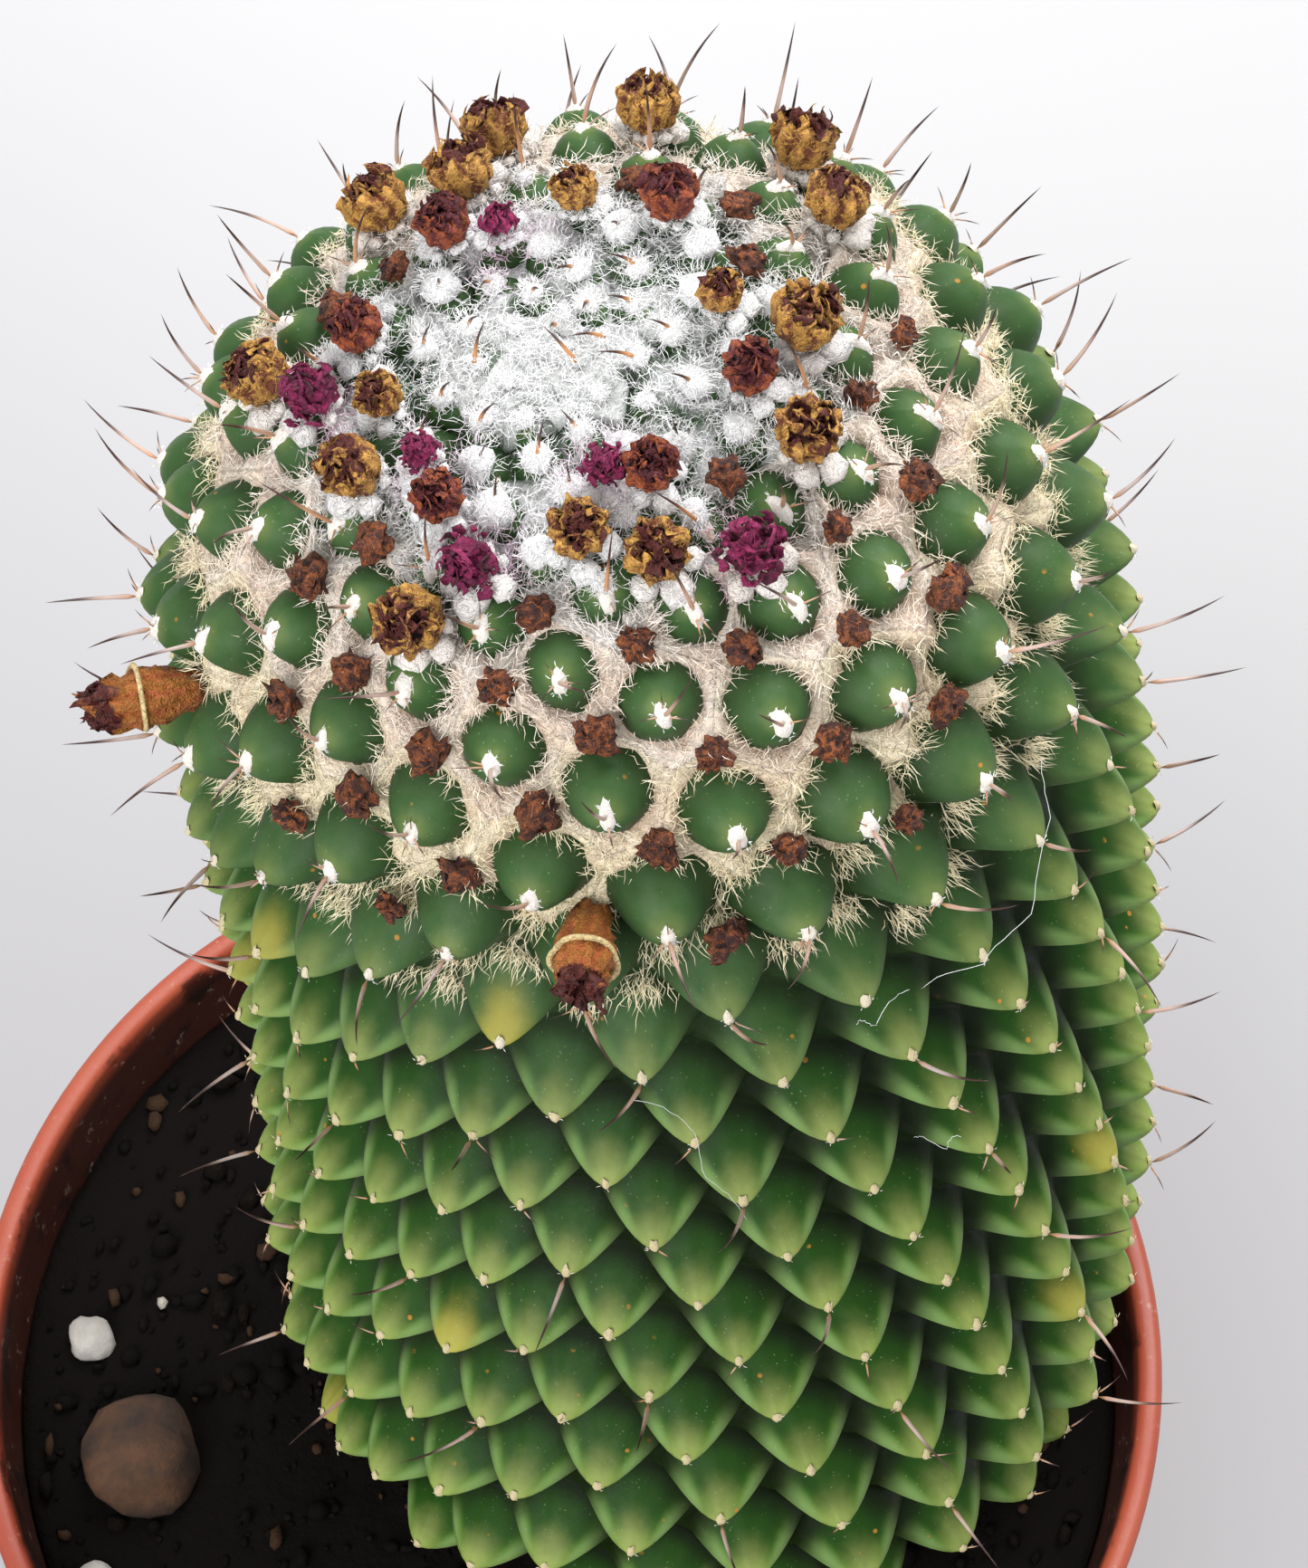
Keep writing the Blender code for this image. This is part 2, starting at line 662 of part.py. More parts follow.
def main():
    clear_scene()
    parts = new_collection("potted mammillaria")
    helpers = new_collection("cutters")
    places, axils, rings = stem_cells()
    cells = {n: Cell(places[n], ring, axils) for n, ring in sorted(rings.items())}
    carried = (BUDS, WITHERED, REMAINS, FRUITS)
    buds, withered, remains, fruits = ([cells[n].axil for n in numbers] for numbers in carried)
    make_pot(parts, helpers)
    make_stem(parts, cells, axils)
    make_soil(parts, helpers)
    make_wool(parts, cells, axils, set(buds) | set(withered))
    make_flowers(parts, axils, buds, withered, remains)
    make_fruits(parts, axils, fruits)


main()
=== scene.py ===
"""The look of a potted mammillaria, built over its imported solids.

The stem's surface, its cells and what stands in its axils follow the same rules as the solids do:
tubercles in opposite pairs that turn on down a leaning column, each on its own cell. A place on the
stem is an arc, its distance from the growing point along the surface, and a turn round the stem.
Lengths are in metres and angles in radians.
"""

import functools
import math
import random

import bmesh
import bpy
import numpy as np
from bpy.props import FloatProperty, FloatVectorProperty, IntProperty, PointerProperty
from mathutils import Matrix, Vector, geometry, noise


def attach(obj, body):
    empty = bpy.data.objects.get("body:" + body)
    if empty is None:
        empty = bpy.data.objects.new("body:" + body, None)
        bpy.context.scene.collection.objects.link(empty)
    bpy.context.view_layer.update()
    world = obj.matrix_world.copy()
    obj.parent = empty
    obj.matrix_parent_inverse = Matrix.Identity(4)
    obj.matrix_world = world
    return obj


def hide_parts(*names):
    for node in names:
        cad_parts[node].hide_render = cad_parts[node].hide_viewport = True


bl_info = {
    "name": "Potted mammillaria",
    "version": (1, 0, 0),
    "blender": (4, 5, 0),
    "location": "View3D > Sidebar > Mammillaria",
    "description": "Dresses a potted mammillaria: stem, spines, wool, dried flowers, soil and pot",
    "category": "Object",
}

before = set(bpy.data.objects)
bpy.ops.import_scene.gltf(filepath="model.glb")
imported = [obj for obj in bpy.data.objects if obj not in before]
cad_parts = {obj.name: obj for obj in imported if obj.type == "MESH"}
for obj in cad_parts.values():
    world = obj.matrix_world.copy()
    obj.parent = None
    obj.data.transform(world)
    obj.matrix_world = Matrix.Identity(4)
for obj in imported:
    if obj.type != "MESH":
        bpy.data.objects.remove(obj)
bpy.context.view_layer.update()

# Pot and soil, as in the solids
POT_HEIGHT = 0.115
RIM_RADIUS = 0.065
FOOT_RADIUS = 0.046
WALL = 0.0018
FLOOR = 0.0026
COLLAR_HEIGHT = 0.017
COLLAR_STEP = 0.0016
DRAIN_COUNT = 5
DRAIN_RADIUS = 0.0045
DRAIN_CIRCLE = 0.028
DRAIN_SIDES = 32
SOIL_LEVEL = 0.105

# The rounding of the pot's foot, collar, rim and floor
FOOT_RECESS = 0.0040
FOOT_EDGE = 0.0013
COLLAR_EASE = 0.0006
COLLAR_FLARE = 0.0014
RIM_TAPER = 0.0003
RIM_BAND = 0.0045
RIM_EDGE = 0.0011
LIP_EDGE = 0.0010
LIP_STEP = 0.0007
FLOOR_EDGE = 0.0014
INSIDE_MARGIN = 0.0004
# Painted shade and dirt: the depths below the rim over which the inner wall darkens
INSIDE_SHADE_AND_DIRT = (0.0002, 0.0035)
SHARP_ANGLE = math.radians(50)
WELD = 0.00001

# The soil's top: how steep and how high its swells and crumbs are, and the loose crumbs on it
SOIL_SIDES = 144
SOIL_RINGS = 46
SOIL_INSET = 0.0006
SWELL_SCALE = 60
SWELL = 0.0008
CRUMBLE_SCALE = 420
CRUMBLE = 0.00055
CRUMB_SIZE = 0.0004
CRUMB_GROWTH = 0.0011
CRUMB_TONES = (0.15, 0.35, 0.7, 1.0)
CRUMB_SHARES = (0.55, 0.28, 0.15, 0.02)
CRUMB_FIELD = 0.97
CRUMB_LIFT = 0.35
CRUMB_STRETCH = (0.55, 1.3)
CRUMB_ROUGHNESS = 0.22
CRUMB_CLEARANCE = 0.0006
CRUMB_OVERLAP = 0.004

# Stones as (x, y, radius, kind), as in the solids
STONES = (
    (-0.0465, -0.0080, 0.0066, "clay"),
    (-0.0527, 0.0065, 0.0026, "pale"),
    (-0.0513, -0.0215, 0.0019, "pale"),
    (-0.0385, -0.0325, 0.0022, "pale"),
)
STONE_BUMP = 0.22
STONE_GRAIN = 0.05
STONE_FLATNESS = 0.72
STONE_SUNK = 0.25
STONE_COLOURS = {
    "clay": ("orange-brown stone", (0.078, 0.032, 0.012), (0.018, 0.010, 0.006)),
    "pale": ("pale stone", (0.55, 0.52, 0.48), (0.33, 0.31, 0.28)),
}

# Stem: its valleys, before the tubercles rise from them
STEM_FOOT = np.array((0.0137, 0.0085, SOIL_LEVEL))
SHOULDER = 0.144
DOME_HEIGHT = 0.0436
DOME_POWER = 2.3
HEAD_RADIUS = 0.0402
BODY_RADIUS = 0.0403
FOOT_STEM_RADIUS = 0.0358
FOOT_TAPER = 0.030
BASE_LEAN = 0.043
CROWN_LEAN = 0.252
CROWN_POWER = 1.25
BACK_LEAN = 0.077
LEAN_LENGTH = 0.191
BURIED = 0.010
ROOT_DEPTH = 0.018
LOWEST_AXIL = 0.001
OPEN_EDGE = 0.03
NUDGE = 0.001

# Tubercles: the area of a cell, and how high a tubercle rises and droops, at arcs down the stem
PAIR_TURN = math.radians(68.91)
FIRST_TURN = math.radians(160)
CELL_ARC = (0.0, 0.010, 0.020, 0.030, 0.045, 0.070, 0.110, 0.190)
CELL_AREA = (12e-6, 19e-6, 40e-6, 71e-6, 98e-6, 125e-6, 119e-6, 150e-6)
RISE_ARC = (0.0, 0.010, 0.018, 0.028, 0.050)
RISE = (0.0006, 0.0018, 0.0036, 0.0062, 0.0070)
DROOP_ARC = (0.030, 0.048, 0.070)
DROOP = (0.0003, 0.0014, 0.0022)
CAP_END = 0.0190
WOOL_END = 0.056
HEAD_END = 0.062
SHORT_EDGE = 0.0013
YELLOWED_CHANCE = 0.04
YELLOWED = (0.25, 0.6)

# A tubercle's shape, from the round knobs of the head to the four-angled pyramids of the body
PYRAMID_ARC = (0.046, 0.064)
LEVELS = (1.0, 0.95, 0.88, 0.79, 0.68, 0.56, 0.43, 0.30, 0.18, 0.08)
KNOB_CURVE = (2.6, 0.80)
PYRAMID_CURVE = (1.5, 1.12)
KNOB_REACH = 0.84
PYRAMID_REACH = 0.90
SQUARENESS = (1.12, 1.60)
HOLLOW = 0.0020
RIDGE = 0.0006
SADDLE = 0.0003

# Areoles: half the width and half the length of a pad, and the height of its rings and its top
PAD_SIZE = (0.0009, 0.0017)
OLD_PAD_SIZE = (0.0005, 0.0008)
PAD_SHIFT = 0.0006
PAD_SIDES = 10
PAD_RINGS = (1.0, 0.88, 0.50)
PAD_LIFT = (-0.0002, 0.00016, 0.00040)
PAD_TOP = 0.0005
PAD_BUMP = 0.00009
PAD_RAGGED = 0.16
PAD_VARIETY = (0.8, 1.15)
PAD_FLATTENING = 0.6
FRINGE_HAIRS = (18, 3)
FRINGE_LENGTH = (0.0003, 0.0007)
FRINGE_CURL = 0.00005
FRINGE_RADIUS = 0.000035
FRINGE_LIFT = 0.0001

# Spines
SPINE_LENGTH = 0.0095
SPINE_BOW = 2.9
SPINE_VARIETY = (0.8, 1.1)
SPINE_DROOP = (-0.55, 0.15)
SPINE_SWAY = 0.35
SPINE_SIDES = 6
GREYING_ARC = (0.018, 0.030)
BODY_SPINES_EVERY = 4
LOWEST_SPINE = 0.122
SHORT_SPINE_LENGTH = (0.0018, 0.0036)
SHORT_SPINE_SPREAD = 0.0004
SHORT_SPINE_RADIUS = 0.45
SHORT_SPINE_SIDES = 4
CROWN_SPINE_ARC = (0.0012, 0.0150)
CROWN_SPINE_CHANCE = 0.7
CROWN_SPINE_LENGTH = (0.0036, 0.0060)
CROWN_SPINE_RADIUS = 0.00027
CROWN_SPINE_LIFT = 0.0002

# Wool: how high the solids' wool and the felt stand at arcs down the stem
WOOL_ARC = (0.0, 0.010, 0.0215, 0.030, 0.046, 0.056)
WOOL_RISE = (0.0030, 0.0034, 0.0042, 0.0042, 0.0036, 0.0028)
FELT_ARC = (0.0, 0.005, 0.010, 0.015, 0.020, 0.026, 0.046, 0.056)
FELT_RISE = (0.0026, 0.0024, 0.0022, 0.0024, 0.0032, 0.0040, 0.0038, 0.0026)

# The felt's band, ring by ring from the valley in to the knob: how far out and how high it is
FELT_SHARES = (1.0, 0.90, 0.80, 0.70)
FELT_CROWN = (1.0, 0.99, 0.93, 0.80)
# Painted shadow on the felt where it meets the knob, ring by ring from the valley in
FELT_EDGE_SHADOW = (0.0, 0.0, 0.0, 0.35, 0.85, 1.0)
FELT_COVER = ((0.010, 0.020), (3.6, 1.0))
FELT_FOOT = 0.0002
FELT_HEM = 0.55
FELT_LUMP = 0.0010
FELT_UNEVEN = 0.45
FELT_THINNING = (0.24, 0.51)
WIDENING_ARC = (0.014, 0.022)
LOOSE_ARC = (0.040, 0.050)
FADING_ARC = (0.0475, 0.0555)
BARE_SCALE = 190
BARE_INNER = (0.005, 0.008)
BARE_OUTER = (0.026, 0.021)

# Hairs: their sides, and the length, curl and place of those of the crown and of the axils
HAIR_SIDES = 3
CROWN_HAIR_ARC = 0.0225
CROWN_HAIR_LENGTH = (0.0014, 0.0032)
CROWN_HAIR_CURL = 0.00038
CROWN_HAIR_DEPTH = 0.0014
AXIL_HAIR_ARC = 0.016
AXIL_HAIR_LENGTH = (0.0012, 0.0030)
AXIL_HAIR_CURL = 0.00020
AXIL_HAIR_INWARD = 0.30
AXIL_HAIR_LIFT = (-0.0003, 0.0004)
AXIL_HAIR_THICKNESS = (0.7, 1.7)
UPPER_WOOL_END = 0.036
STAIN_REACH = (0.0062, 0.0025)
STAIN_HEIGHT = 0.004
STAIN = 0.55

# Tufts on the young areoles, collars round the dried flowers, and wisps below the head
TUFT_RISE = 0.0056
TUFT_ARC = (0.0040, 0.009, 0.0145, 0.0175, 0.0215)
TUFT_SIZE = (0.0010, 0.0018, 0.0029, 0.0022, 0.0014)
TUFT_HAIR_CURL = 0.00014
TUFT_HAIR_LENGTH = (0.35, 0.75)
TUFT_HAIR_LEAST = 0.0002
TUFT_VARIETY = (0.7, 1.12)
TUFT_LUMPS = 0.3
TUFT_CORE = 0.72
TUFT_ROOTS = 0.62
TUFT_FLATNESS = 0.25
TUFT_LIFT = 0.35
TUFT_SHIFT = 0.0003
COLLAR_SIZE = 0.0018
COLLAR_KNOTS = 7
COLLAR_SUNK = 0.0007
COLLAR_AGE = 0.10
COLLAR_REACH = (0.88, 0.46)
COLLAR_SWELL = 0.75
COLLAR_LEAST = 0.60
COLLAR_VARIETY = (0.85, 1.1)
OLD_TUFT_ARC = (0.0435, 0.066)
OLD_TUFT_SPREAD = 0.0011
OLD_TUFT_LENGTH = 0.0041
OLD_TUFT_LIFT = 0.0006
OLD_TUFT_CURL = 0.00030
OLD_TUFT_THICKNESS = 1.5
OLD_AGE = 0.22

# Silk threads, each given as its bends' (arc, turn in degrees)
SILK = (
    ((0.054, -34), (0.060, -36), (0.070, -42), (0.070, -50), (0.067, -58)),
    ((0.066, -59), (0.069, -64), (0.067, -66)),
    ((0.071, -92), (0.077, -86), (0.087, -86), (0.097, -82)),
    ((0.091, -62), (0.097, -58), (0.096, -56)),
)
SILK_RISE = 0.0082
SILK_STEPS = 25
SILK_SAG = 0.0007
SILK_KINK = 0.00006
SILK_THICKNESS = 0.9

# What stands in the axils, by the tubercle just below, counted down from the growing point
BUDS = (44, 46, 47, 48, 49, 50, 51, 52, 53, 55, 57, 63, 64, 65, 68, 74, 77, 79, 81, 83, 86, 93)
RED_BUDS = (48, 49, 50, 51, 52, 53)
WITHERED = (38, 39, 40, 60, 62, 75)
REMAINS = (59, 66, 67, 70, 80, 82, 87, 90, 92, 95, 97, 102, 107, 109, 110, 112, 119, 122, 127, 129, 132, 149)
SCRAPS = (56, 58, 61, 69, 78, 85, 88, 100, 117, 134, 142, 144)
FRUITS = (139, 141)

# Dried flowers: a bud's outline as (radius, height) in bud radii, a fruit's as (radius, share of its length)
BUD_GROWTH_ARC = (0.0140, 0.0185)
BUD_GROWTH = (0.72, 1.0)
BUD_RADIUS = 0.0027
BUD_CUP = ((0.45, -0.2), (0.82, 0.1), (0.98, 0.5), (1.03, 0.95), (0.95, 1.25))
BUD_MOUTH = ((0.72, 1.30), (0.46, 1.15), (0.2, 1.0))
BUD_RIBS = (8, 12)
BUD_RIB_DEPTH = 0.22
BUD_TWIST = 1.2
BUD_VARIETY = (0.96, 1.10)
BUD_PETALS = 18
GOLD_TORN = (0.28, 0.46)
RED_TORN = (0.18, 0.40)
BODY_RINGS = 17
CRUMPLED = (0.17, 0.30)
WITHERED_PETALS = 16
REMAINS_PETALS = 8
REMAINS_SIZE = 0.80
SCRAP_SIZE = 0.85
FRUIT_LENGTH = 0.0115
FRUIT_BARREL = ((0.0016, -0.05), (0.0021, 0.10), (0.0025, 0.24), (0.0027, 0.38), (0.0028, 0.46))
FRUIT_NECK = ((0.0025, 0.50), (0.0024, 0.60), (0.0022, 0.72), (0.0018, 0.84))
FRUIT_MOUTH = (0.0019, 0.74)
FRUIT_PETAL_WIDTH = 0.00055
FRUIT_RIBS = 9
FRUIT_RIB_DEPTH = 0.10
FRUIT_TWIST = 0.3
FRUIT_TORN = 0.72
FRUIT_PETALS = 12
FRUIT_RING = (0.0030, 0.48)
HOOP_RADIUS = 0.00032
HOOP_WAVE = 0.0002
PETAL_WIDTHS = (0, 0.8, 1.0, 0.95, 0.8, 0.5, 0)
GAP = 0.0004
SEED = 7

# The stage
STAGE_AIM = (0, 0, 0.2)
WINDOW_PLACE = (0.35, 0.75, 1.15)
FRONT_PLACE = (-0.55, -0.85, 0.95)
FRONT_POWER = 0.72
LAMP_SIZE = 0.9
SKY = (0.97, 0.98, 1.0)
FLOOR_HALF = 8.0
# Painted shade: how far the floor fades darker towards the front and the left
FLOOR_FADE = 0.30
SENSOR_WIDTH = 36
VIEW_DEPTH = (0.05, 20)

# The vector noise has a seed of its own, which would come from the clock
noise.seed_set(SEED)


def unit(v):
    """Vectors brought to a length of 1."""
    return v / np.maximum(np.linalg.norm(v, axis=-1, keepdims=True), 1e-12)


def smooth_step(low, high, x):
    """0 below low, 1 above high, and smooth in between; low above high turns it round."""
    t = np.clip((x - low) / (high - low), 0, 1)
    return t * t * (3 - 2 * t)


def circle(count):
    """Angles evenly round a circle."""
    return 2 * np.pi * np.arange(count) / count


def noise_at(points, offset=(0, 0, 0)):
    """Smooth noise at points, read some way off so that pieces don't repeat each other's."""
    offset = Vector(offset)
    return np.array([noise.noise(Vector(p) + offset) for p in points])


def noise_vectors(points, offset=(0, 0, 0)):
    """Smooth noise at points, as vectors."""
    offset = Vector(offset)
    return np.array([noise.noise_vector(Vector(p) + offset) for p in points])


# The stem's surface


def stem_profile():
    """Arc length from the growing point, radius and height above the soil, down the stem's side."""
    turn = np.linspace(0, math.pi / 2, 160)
    power = 2 / DOME_POWER
    height = np.linspace(SHOULDER, -BURIED, 210)[1:]
    taper = smooth_step(0, FOOT_TAPER, height)
    body = BODY_RADIUS + (HEAD_RADIUS - BODY_RADIUS) * height / SHOULDER
    radius = FOOT_STEM_RADIUS + (body - FOOT_STEM_RADIUS) * taper
    radius = np.concatenate([HEAD_RADIUS * np.sin(turn) ** power, radius])
    height = np.concatenate([SHOULDER + DOME_HEIGHT * np.cos(turn) ** power, height])
    arc = np.concatenate([[0], np.cumsum(np.hypot(np.diff(radius), np.diff(height)))])
    return arc, radius, height


def arc_spread(arc, radius):
    """What the arc adds up to against the radius, which lets the stem's surface be drawn flat."""
    between = np.maximum((radius[1:] + radius[:-1]) / 2, 1e-4)
    return np.concatenate([[0], np.cumsum(np.diff(arc) / between)])


ARC, RADIUS, HEIGHT = stem_profile()
OUTWARD = (-np.gradient(HEIGHT, ARC), np.gradient(RADIUS, ARC))
SPREAD = arc_spread(ARC, RADIUS)


def age_at(arc):
    """How far down the stem an arc is, from 0 at the growing point to 1 at the foot."""
    return arc / ARC[-1]


def leaning(radius, turn, height):
    """Points of the upright stem moved to where the leaning stem has them."""
    grown = CROWN_LEAN * np.maximum(height / LEAN_LENGTH, 0) ** CROWN_POWER
    side = BASE_LEAN * height - grown * height / (CROWN_POWER + 1)
    along = unit(np.stack([BASE_LEAN - grown, np.full_like(height, BACK_LEAN), np.ones_like(height)], -1))
    back = unit(np.cross(along, (1.0, 0.0, 0.0)))
    right = np.cross(back, along)
    centre = STEM_FOOT + np.stack([side, BACK_LEAN * height, height], -1)
    return centre + radius[..., None] * (np.cos(turn)[..., None] * right + np.sin(turn)[..., None] * back)


def on_stem(arc, turn, lift=0.0):
    """Points of the stem's surface at arc lengths and turns, lifted off it along its normal."""
    arc, turn, lift = np.broadcast_arrays(np.asarray(arc, float), np.asarray(turn, float), lift)
    radius = np.interp(arc, ARC, RADIUS) + lift * np.interp(arc, ARC, OUTWARD[0])
    height = np.interp(arc, ARC, HEIGHT) + lift * np.interp(arc, ARC, OUTWARD[1])
    return leaning(radius, turn, height)


def off_stem(arc, turn):
    """The stem's outward normals at arc lengths and turns."""
    return unit(on_stem(arc, turn, NUDGE) - on_stem(arc, turn))


def phyllotaxis():
    """Arc length and turn of every tubercle: opposite pairs, each turned on from the one above."""
    area = np.interp(ARC, CELL_ARC, CELL_AREA)
    per_arc = 2 * math.pi * RADIUS / area
    count = np.concatenate([[0], np.cumsum((per_arc[1:] + per_arc[:-1]) / 2 * np.diff(ARC))])
    pair, member = np.divmod(np.arange(int(count[-1])), 2)
    return np.interp(2 * pair + 1, count, ARC), FIRST_TURN - pair * PAIR_TURN + member * math.pi


def circumcentre(a, b, c):
    """The point as far from each of three flat points."""
    ab, ac = b - a, c - a
    twice = 2 * ab.cross(ac)
    across = Vector((ac.y, -ac.x)) * ab.length_squared - Vector((ab.y, -ab.x)) * ac.length_squared
    return a + across / twice


def merge_short_edges(places, rings):
    """Joins two axils that nearly touch, each axil at most once, so that cells lose their slivers."""
    merged = list(range(len(places)))
    taken = set()
    for ring in rings.values():
        for i, a in enumerate(ring):
            b = ring[i - 1]
            if a in taken or b in taken or np.linalg.norm(places[a] - places[b]) > SHORT_EDGE:
                continue
            taken |= {a, b}
            merged[b] = a
    return merged


class Cell:
    """One tubercle's cell: its middle, its axes, its corners and the shape that rises from it."""

    def __init__(self, number, arc, turn, ring, axils):
        self.number, self.arc, self.turn, self.ring = number, float(arc), float(turn), ring
        self.age = age_at(self.arc)
        self.middle = on_stem(arc, turn)
        self.out = unit(on_stem(arc, turn, NUDGE) - self.middle)
        self.down = unit(on_stem(arc + NUDGE, turn) - self.middle)
        self.side = np.cross(self.out, self.down)
        self.corners = on_stem([axils[a][0] for a in ring], [axils[a][1] for a in ring])
        self.rise = float(np.interp(arc, RISE_ARC, RISE))
        self.droop = float(np.interp(arc, DROOP_ARC, DROOP))
        self.pyramid = float(smooth_step(*PYRAMID_ARC, arc))
        self.reach = float(np.mean(np.linalg.norm(self.corners - self.middle, axis=1)))
        self.axil = min(ring, key=lambda a: axils[a][0])

    def height(self, share):
        """The tubercle's height over its share of the cell's size, from 0 in the valley to 1 at its tip."""
        knob = (1 - share ** KNOB_CURVE[0]) ** KNOB_CURVE[1]
        pyramid = (1 - share ** PYRAMID_CURVE[0]) ** PYRAMID_CURVE[1]
        return knob + (pyramid - knob) * self.pyramid

    def lifted(self, height):
        """The offset from the cell's middle of the tubercle's axis at a height from 0 to 1."""
        height = np.asarray(height, float)[..., None]
        return self.out * self.rise * height + self.down * self.droop * height**2

    def surface(self, x, y):
        """Points of the tubercle's surface, x to its side and y down from its axis, near its tip."""
        share = np.clip(np.hypot(x, y) / (self.reach * KNOB_REACH), 0, 1)
        offset = self.side * np.asarray(x)[..., None] + self.down * np.asarray(y)[..., None]
        return self.middle + self.lifted(self.height(share)) + offset


def find_axils(flat):
    """The axils between tubercles that are drawn flat, as (arc, turn, flat place), and those round each."""
    _, _, triangles, _, _, _ = geometry.delaunay_2d_cdt(flat, [], [], 0, 1e-9)
    axils, around = [], {}
    for corners in triangles:
        middle = circumcentre(*(flat[c] for c in corners))
        arc = float(np.interp(math.log(max(middle.length, 1e-9)) + SPREAD[-1], SPREAD, ARC))
        for c in corners:
            around.setdefault(c, []).append(len(axils))
        axils.append((arc, math.atan2(middle.y, middle.x), middle))
    return axils, around


def ordered_rings(flat, axils, around, places):
    """The axils round each tubercle in order, for the tubercles that stand clear of the soil."""
    rings = {}
    for cell, ring in around.items():
        if any(places[a][2] <= SOIL_LEVEL + LOWEST_AXIL for a in ring):
            continue
        centre = flat[cell]
        ring.sort(key=lambda a: math.atan2(axils[a][2].y - centre.y, axils[a][2].x - centre.x))
        rings[cell] = ring
    return rings


@functools.cache
def stem_cells():
    """The cells by number, and each axil's (arc, turn)."""
    arcs, angles = phyllotaxis()
    scale = np.exp(np.interp(arcs, ARC, SPREAD) - SPREAD[-1])
    flat = [Vector((r * math.cos(t), r * math.sin(t))) for r, t in zip(scale, angles)]
    axils, around = find_axils(flat)
    places = on_stem([a[0] for a in axils], [a[1] for a in axils])
    rings = ordered_rings(flat, axils, around, places)
    merged = merge_short_edges(places, rings)
    cells = {}
    for number, ring in sorted(rings.items()):
        joined = [merged[a] for a in ring]
        kept = [a for i, a in enumerate(joined) if a != joined[i - 1]]
        cells[number] = Cell(number, arcs[number], angles[number], kept, axils)
    return cells, [(arc, turn) for arc, turn, _ in axils]


def axil_above(number):
    """Arc length and turn of the axil just above a tubercle."""
    cells, axils = stem_cells()
    return axils[cells[number].axil]


# Materials


class Socket:
    """One output of a shader node; arithmetic on it adds Math nodes."""

    def __init__(self, looks, output):
        self.looks, self.output = looks, output

    def math(self, operation, *values):
        """A Math node on values or sockets."""
        return self.looks.node("ShaderNodeMath", {"operation": operation}, dict(enumerate(values)))

    def __add__(self, other):
        return self.math("ADD", self, other)

    def __sub__(self, other):
        return self.math("SUBTRACT", self, other)

    def __rsub__(self, other):
        return self.math("SUBTRACT", other, self)

    def __mul__(self, other):
        return self.math("MULTIPLY", self, other)

    def __abs__(self):
        return self.math("ABSOLUTE", self)

    __radd__ = __add__
    __rmul__ = __mul__


class Looks:
    """A material and the nodes in front of its Principled shader."""

    def __init__(self, name, roughness=0.6, **uniform):
        self.material = bpy.data.materials.new(name)
        self.material.use_nodes = True
        self.tree = self.material.node_tree
        self.shader = self.tree.nodes["Principled BSDF"]
        self.set(Roughness=roughness, **uniform)

    def node(self, kind, settings=None, inputs=None, output=0):
        """Adds a node: its settings first, then the values or links of its sockets."""
        node = self.tree.nodes.new(kind)
        for key, value in (settings or {}).items():
            setattr(node, key, value)
        for key, value in (inputs or {}).items():
            self.feed(node.inputs[key], value)
        return Socket(self, node.outputs[output])

    def feed(self, socket, value):
        """Gives a node's input its value, its colour or its link."""
        if isinstance(value, Socket):
            self.tree.links.new(value.output, socket)
        elif hasattr(value, "__len__") and len(value) == 3 and socket.type == "RGBA":
            socket.default_value = (*value, 1)
        else:
            socket.default_value = value

    def set(self, **sockets):
        """Feeds the Principled shader's inputs, named with _ for a space."""
        for key, value in sockets.items():
            self.feed(self.shader.inputs[key.replace("_", " ")], value)
        return self

    def mark(self, name):
        """A number kept at the mesh's points."""
        return self.node("ShaderNodeAttribute", {"attribute_name": name}, output="Fac")

    def place(self):
        """The place on the object, in metres."""
        return self.node("ShaderNodeTexCoord", output="Object")

    def part_of_place(self, axis):
        """One coordinate of the place on the object."""
        return self.node("ShaderNodeSeparateXYZ", {}, {0: self.place()}, output=axis)

    def noise(self, scale, detail=3, roughness=0.55, distortion=0.0):
        """Noise from 0 to 1, with a number of cells a metre."""
        inputs = {"Vector": self.place(), "Scale": scale, "Detail": detail, "Roughness": roughness}
        return self.node("ShaderNodeTexNoise", {}, inputs | {"Distortion": distortion})

    def dots(self, scale):
        """The distance from scattered points, with a number of points a metre."""
        inputs = {"Vector": self.place(), "Scale": scale}
        return self.node("ShaderNodeTexVoronoi", {"feature": "F1"}, inputs, "Distance")

    def between(self, value, low, high):
        """0 below low, 1 above high, and smooth in between; low above high turns it round."""
        inputs = {"Value": value, "From Min": low, "From Max": high}
        return self.node("ShaderNodeMapRange", {"interpolation_type": "SMOOTHSTEP"}, inputs)

    def mix(self, share, a, b):
        """A colour between two, the second by its share."""
        settings = {"data_type": "RGBA", "blend_type": "MIX"}
        return self.node("ShaderNodeMix", settings, {0: share, 6: a, 7: b}, output=2)

    def bump(self, height, depth, strength=1.0):
        """Fine relief from a height, over a depth in metres."""
        inputs = {"Height": height, "Distance": depth, "Strength": strength}
        return self.set(Normal=self.node("ShaderNodeBump", {}, inputs))


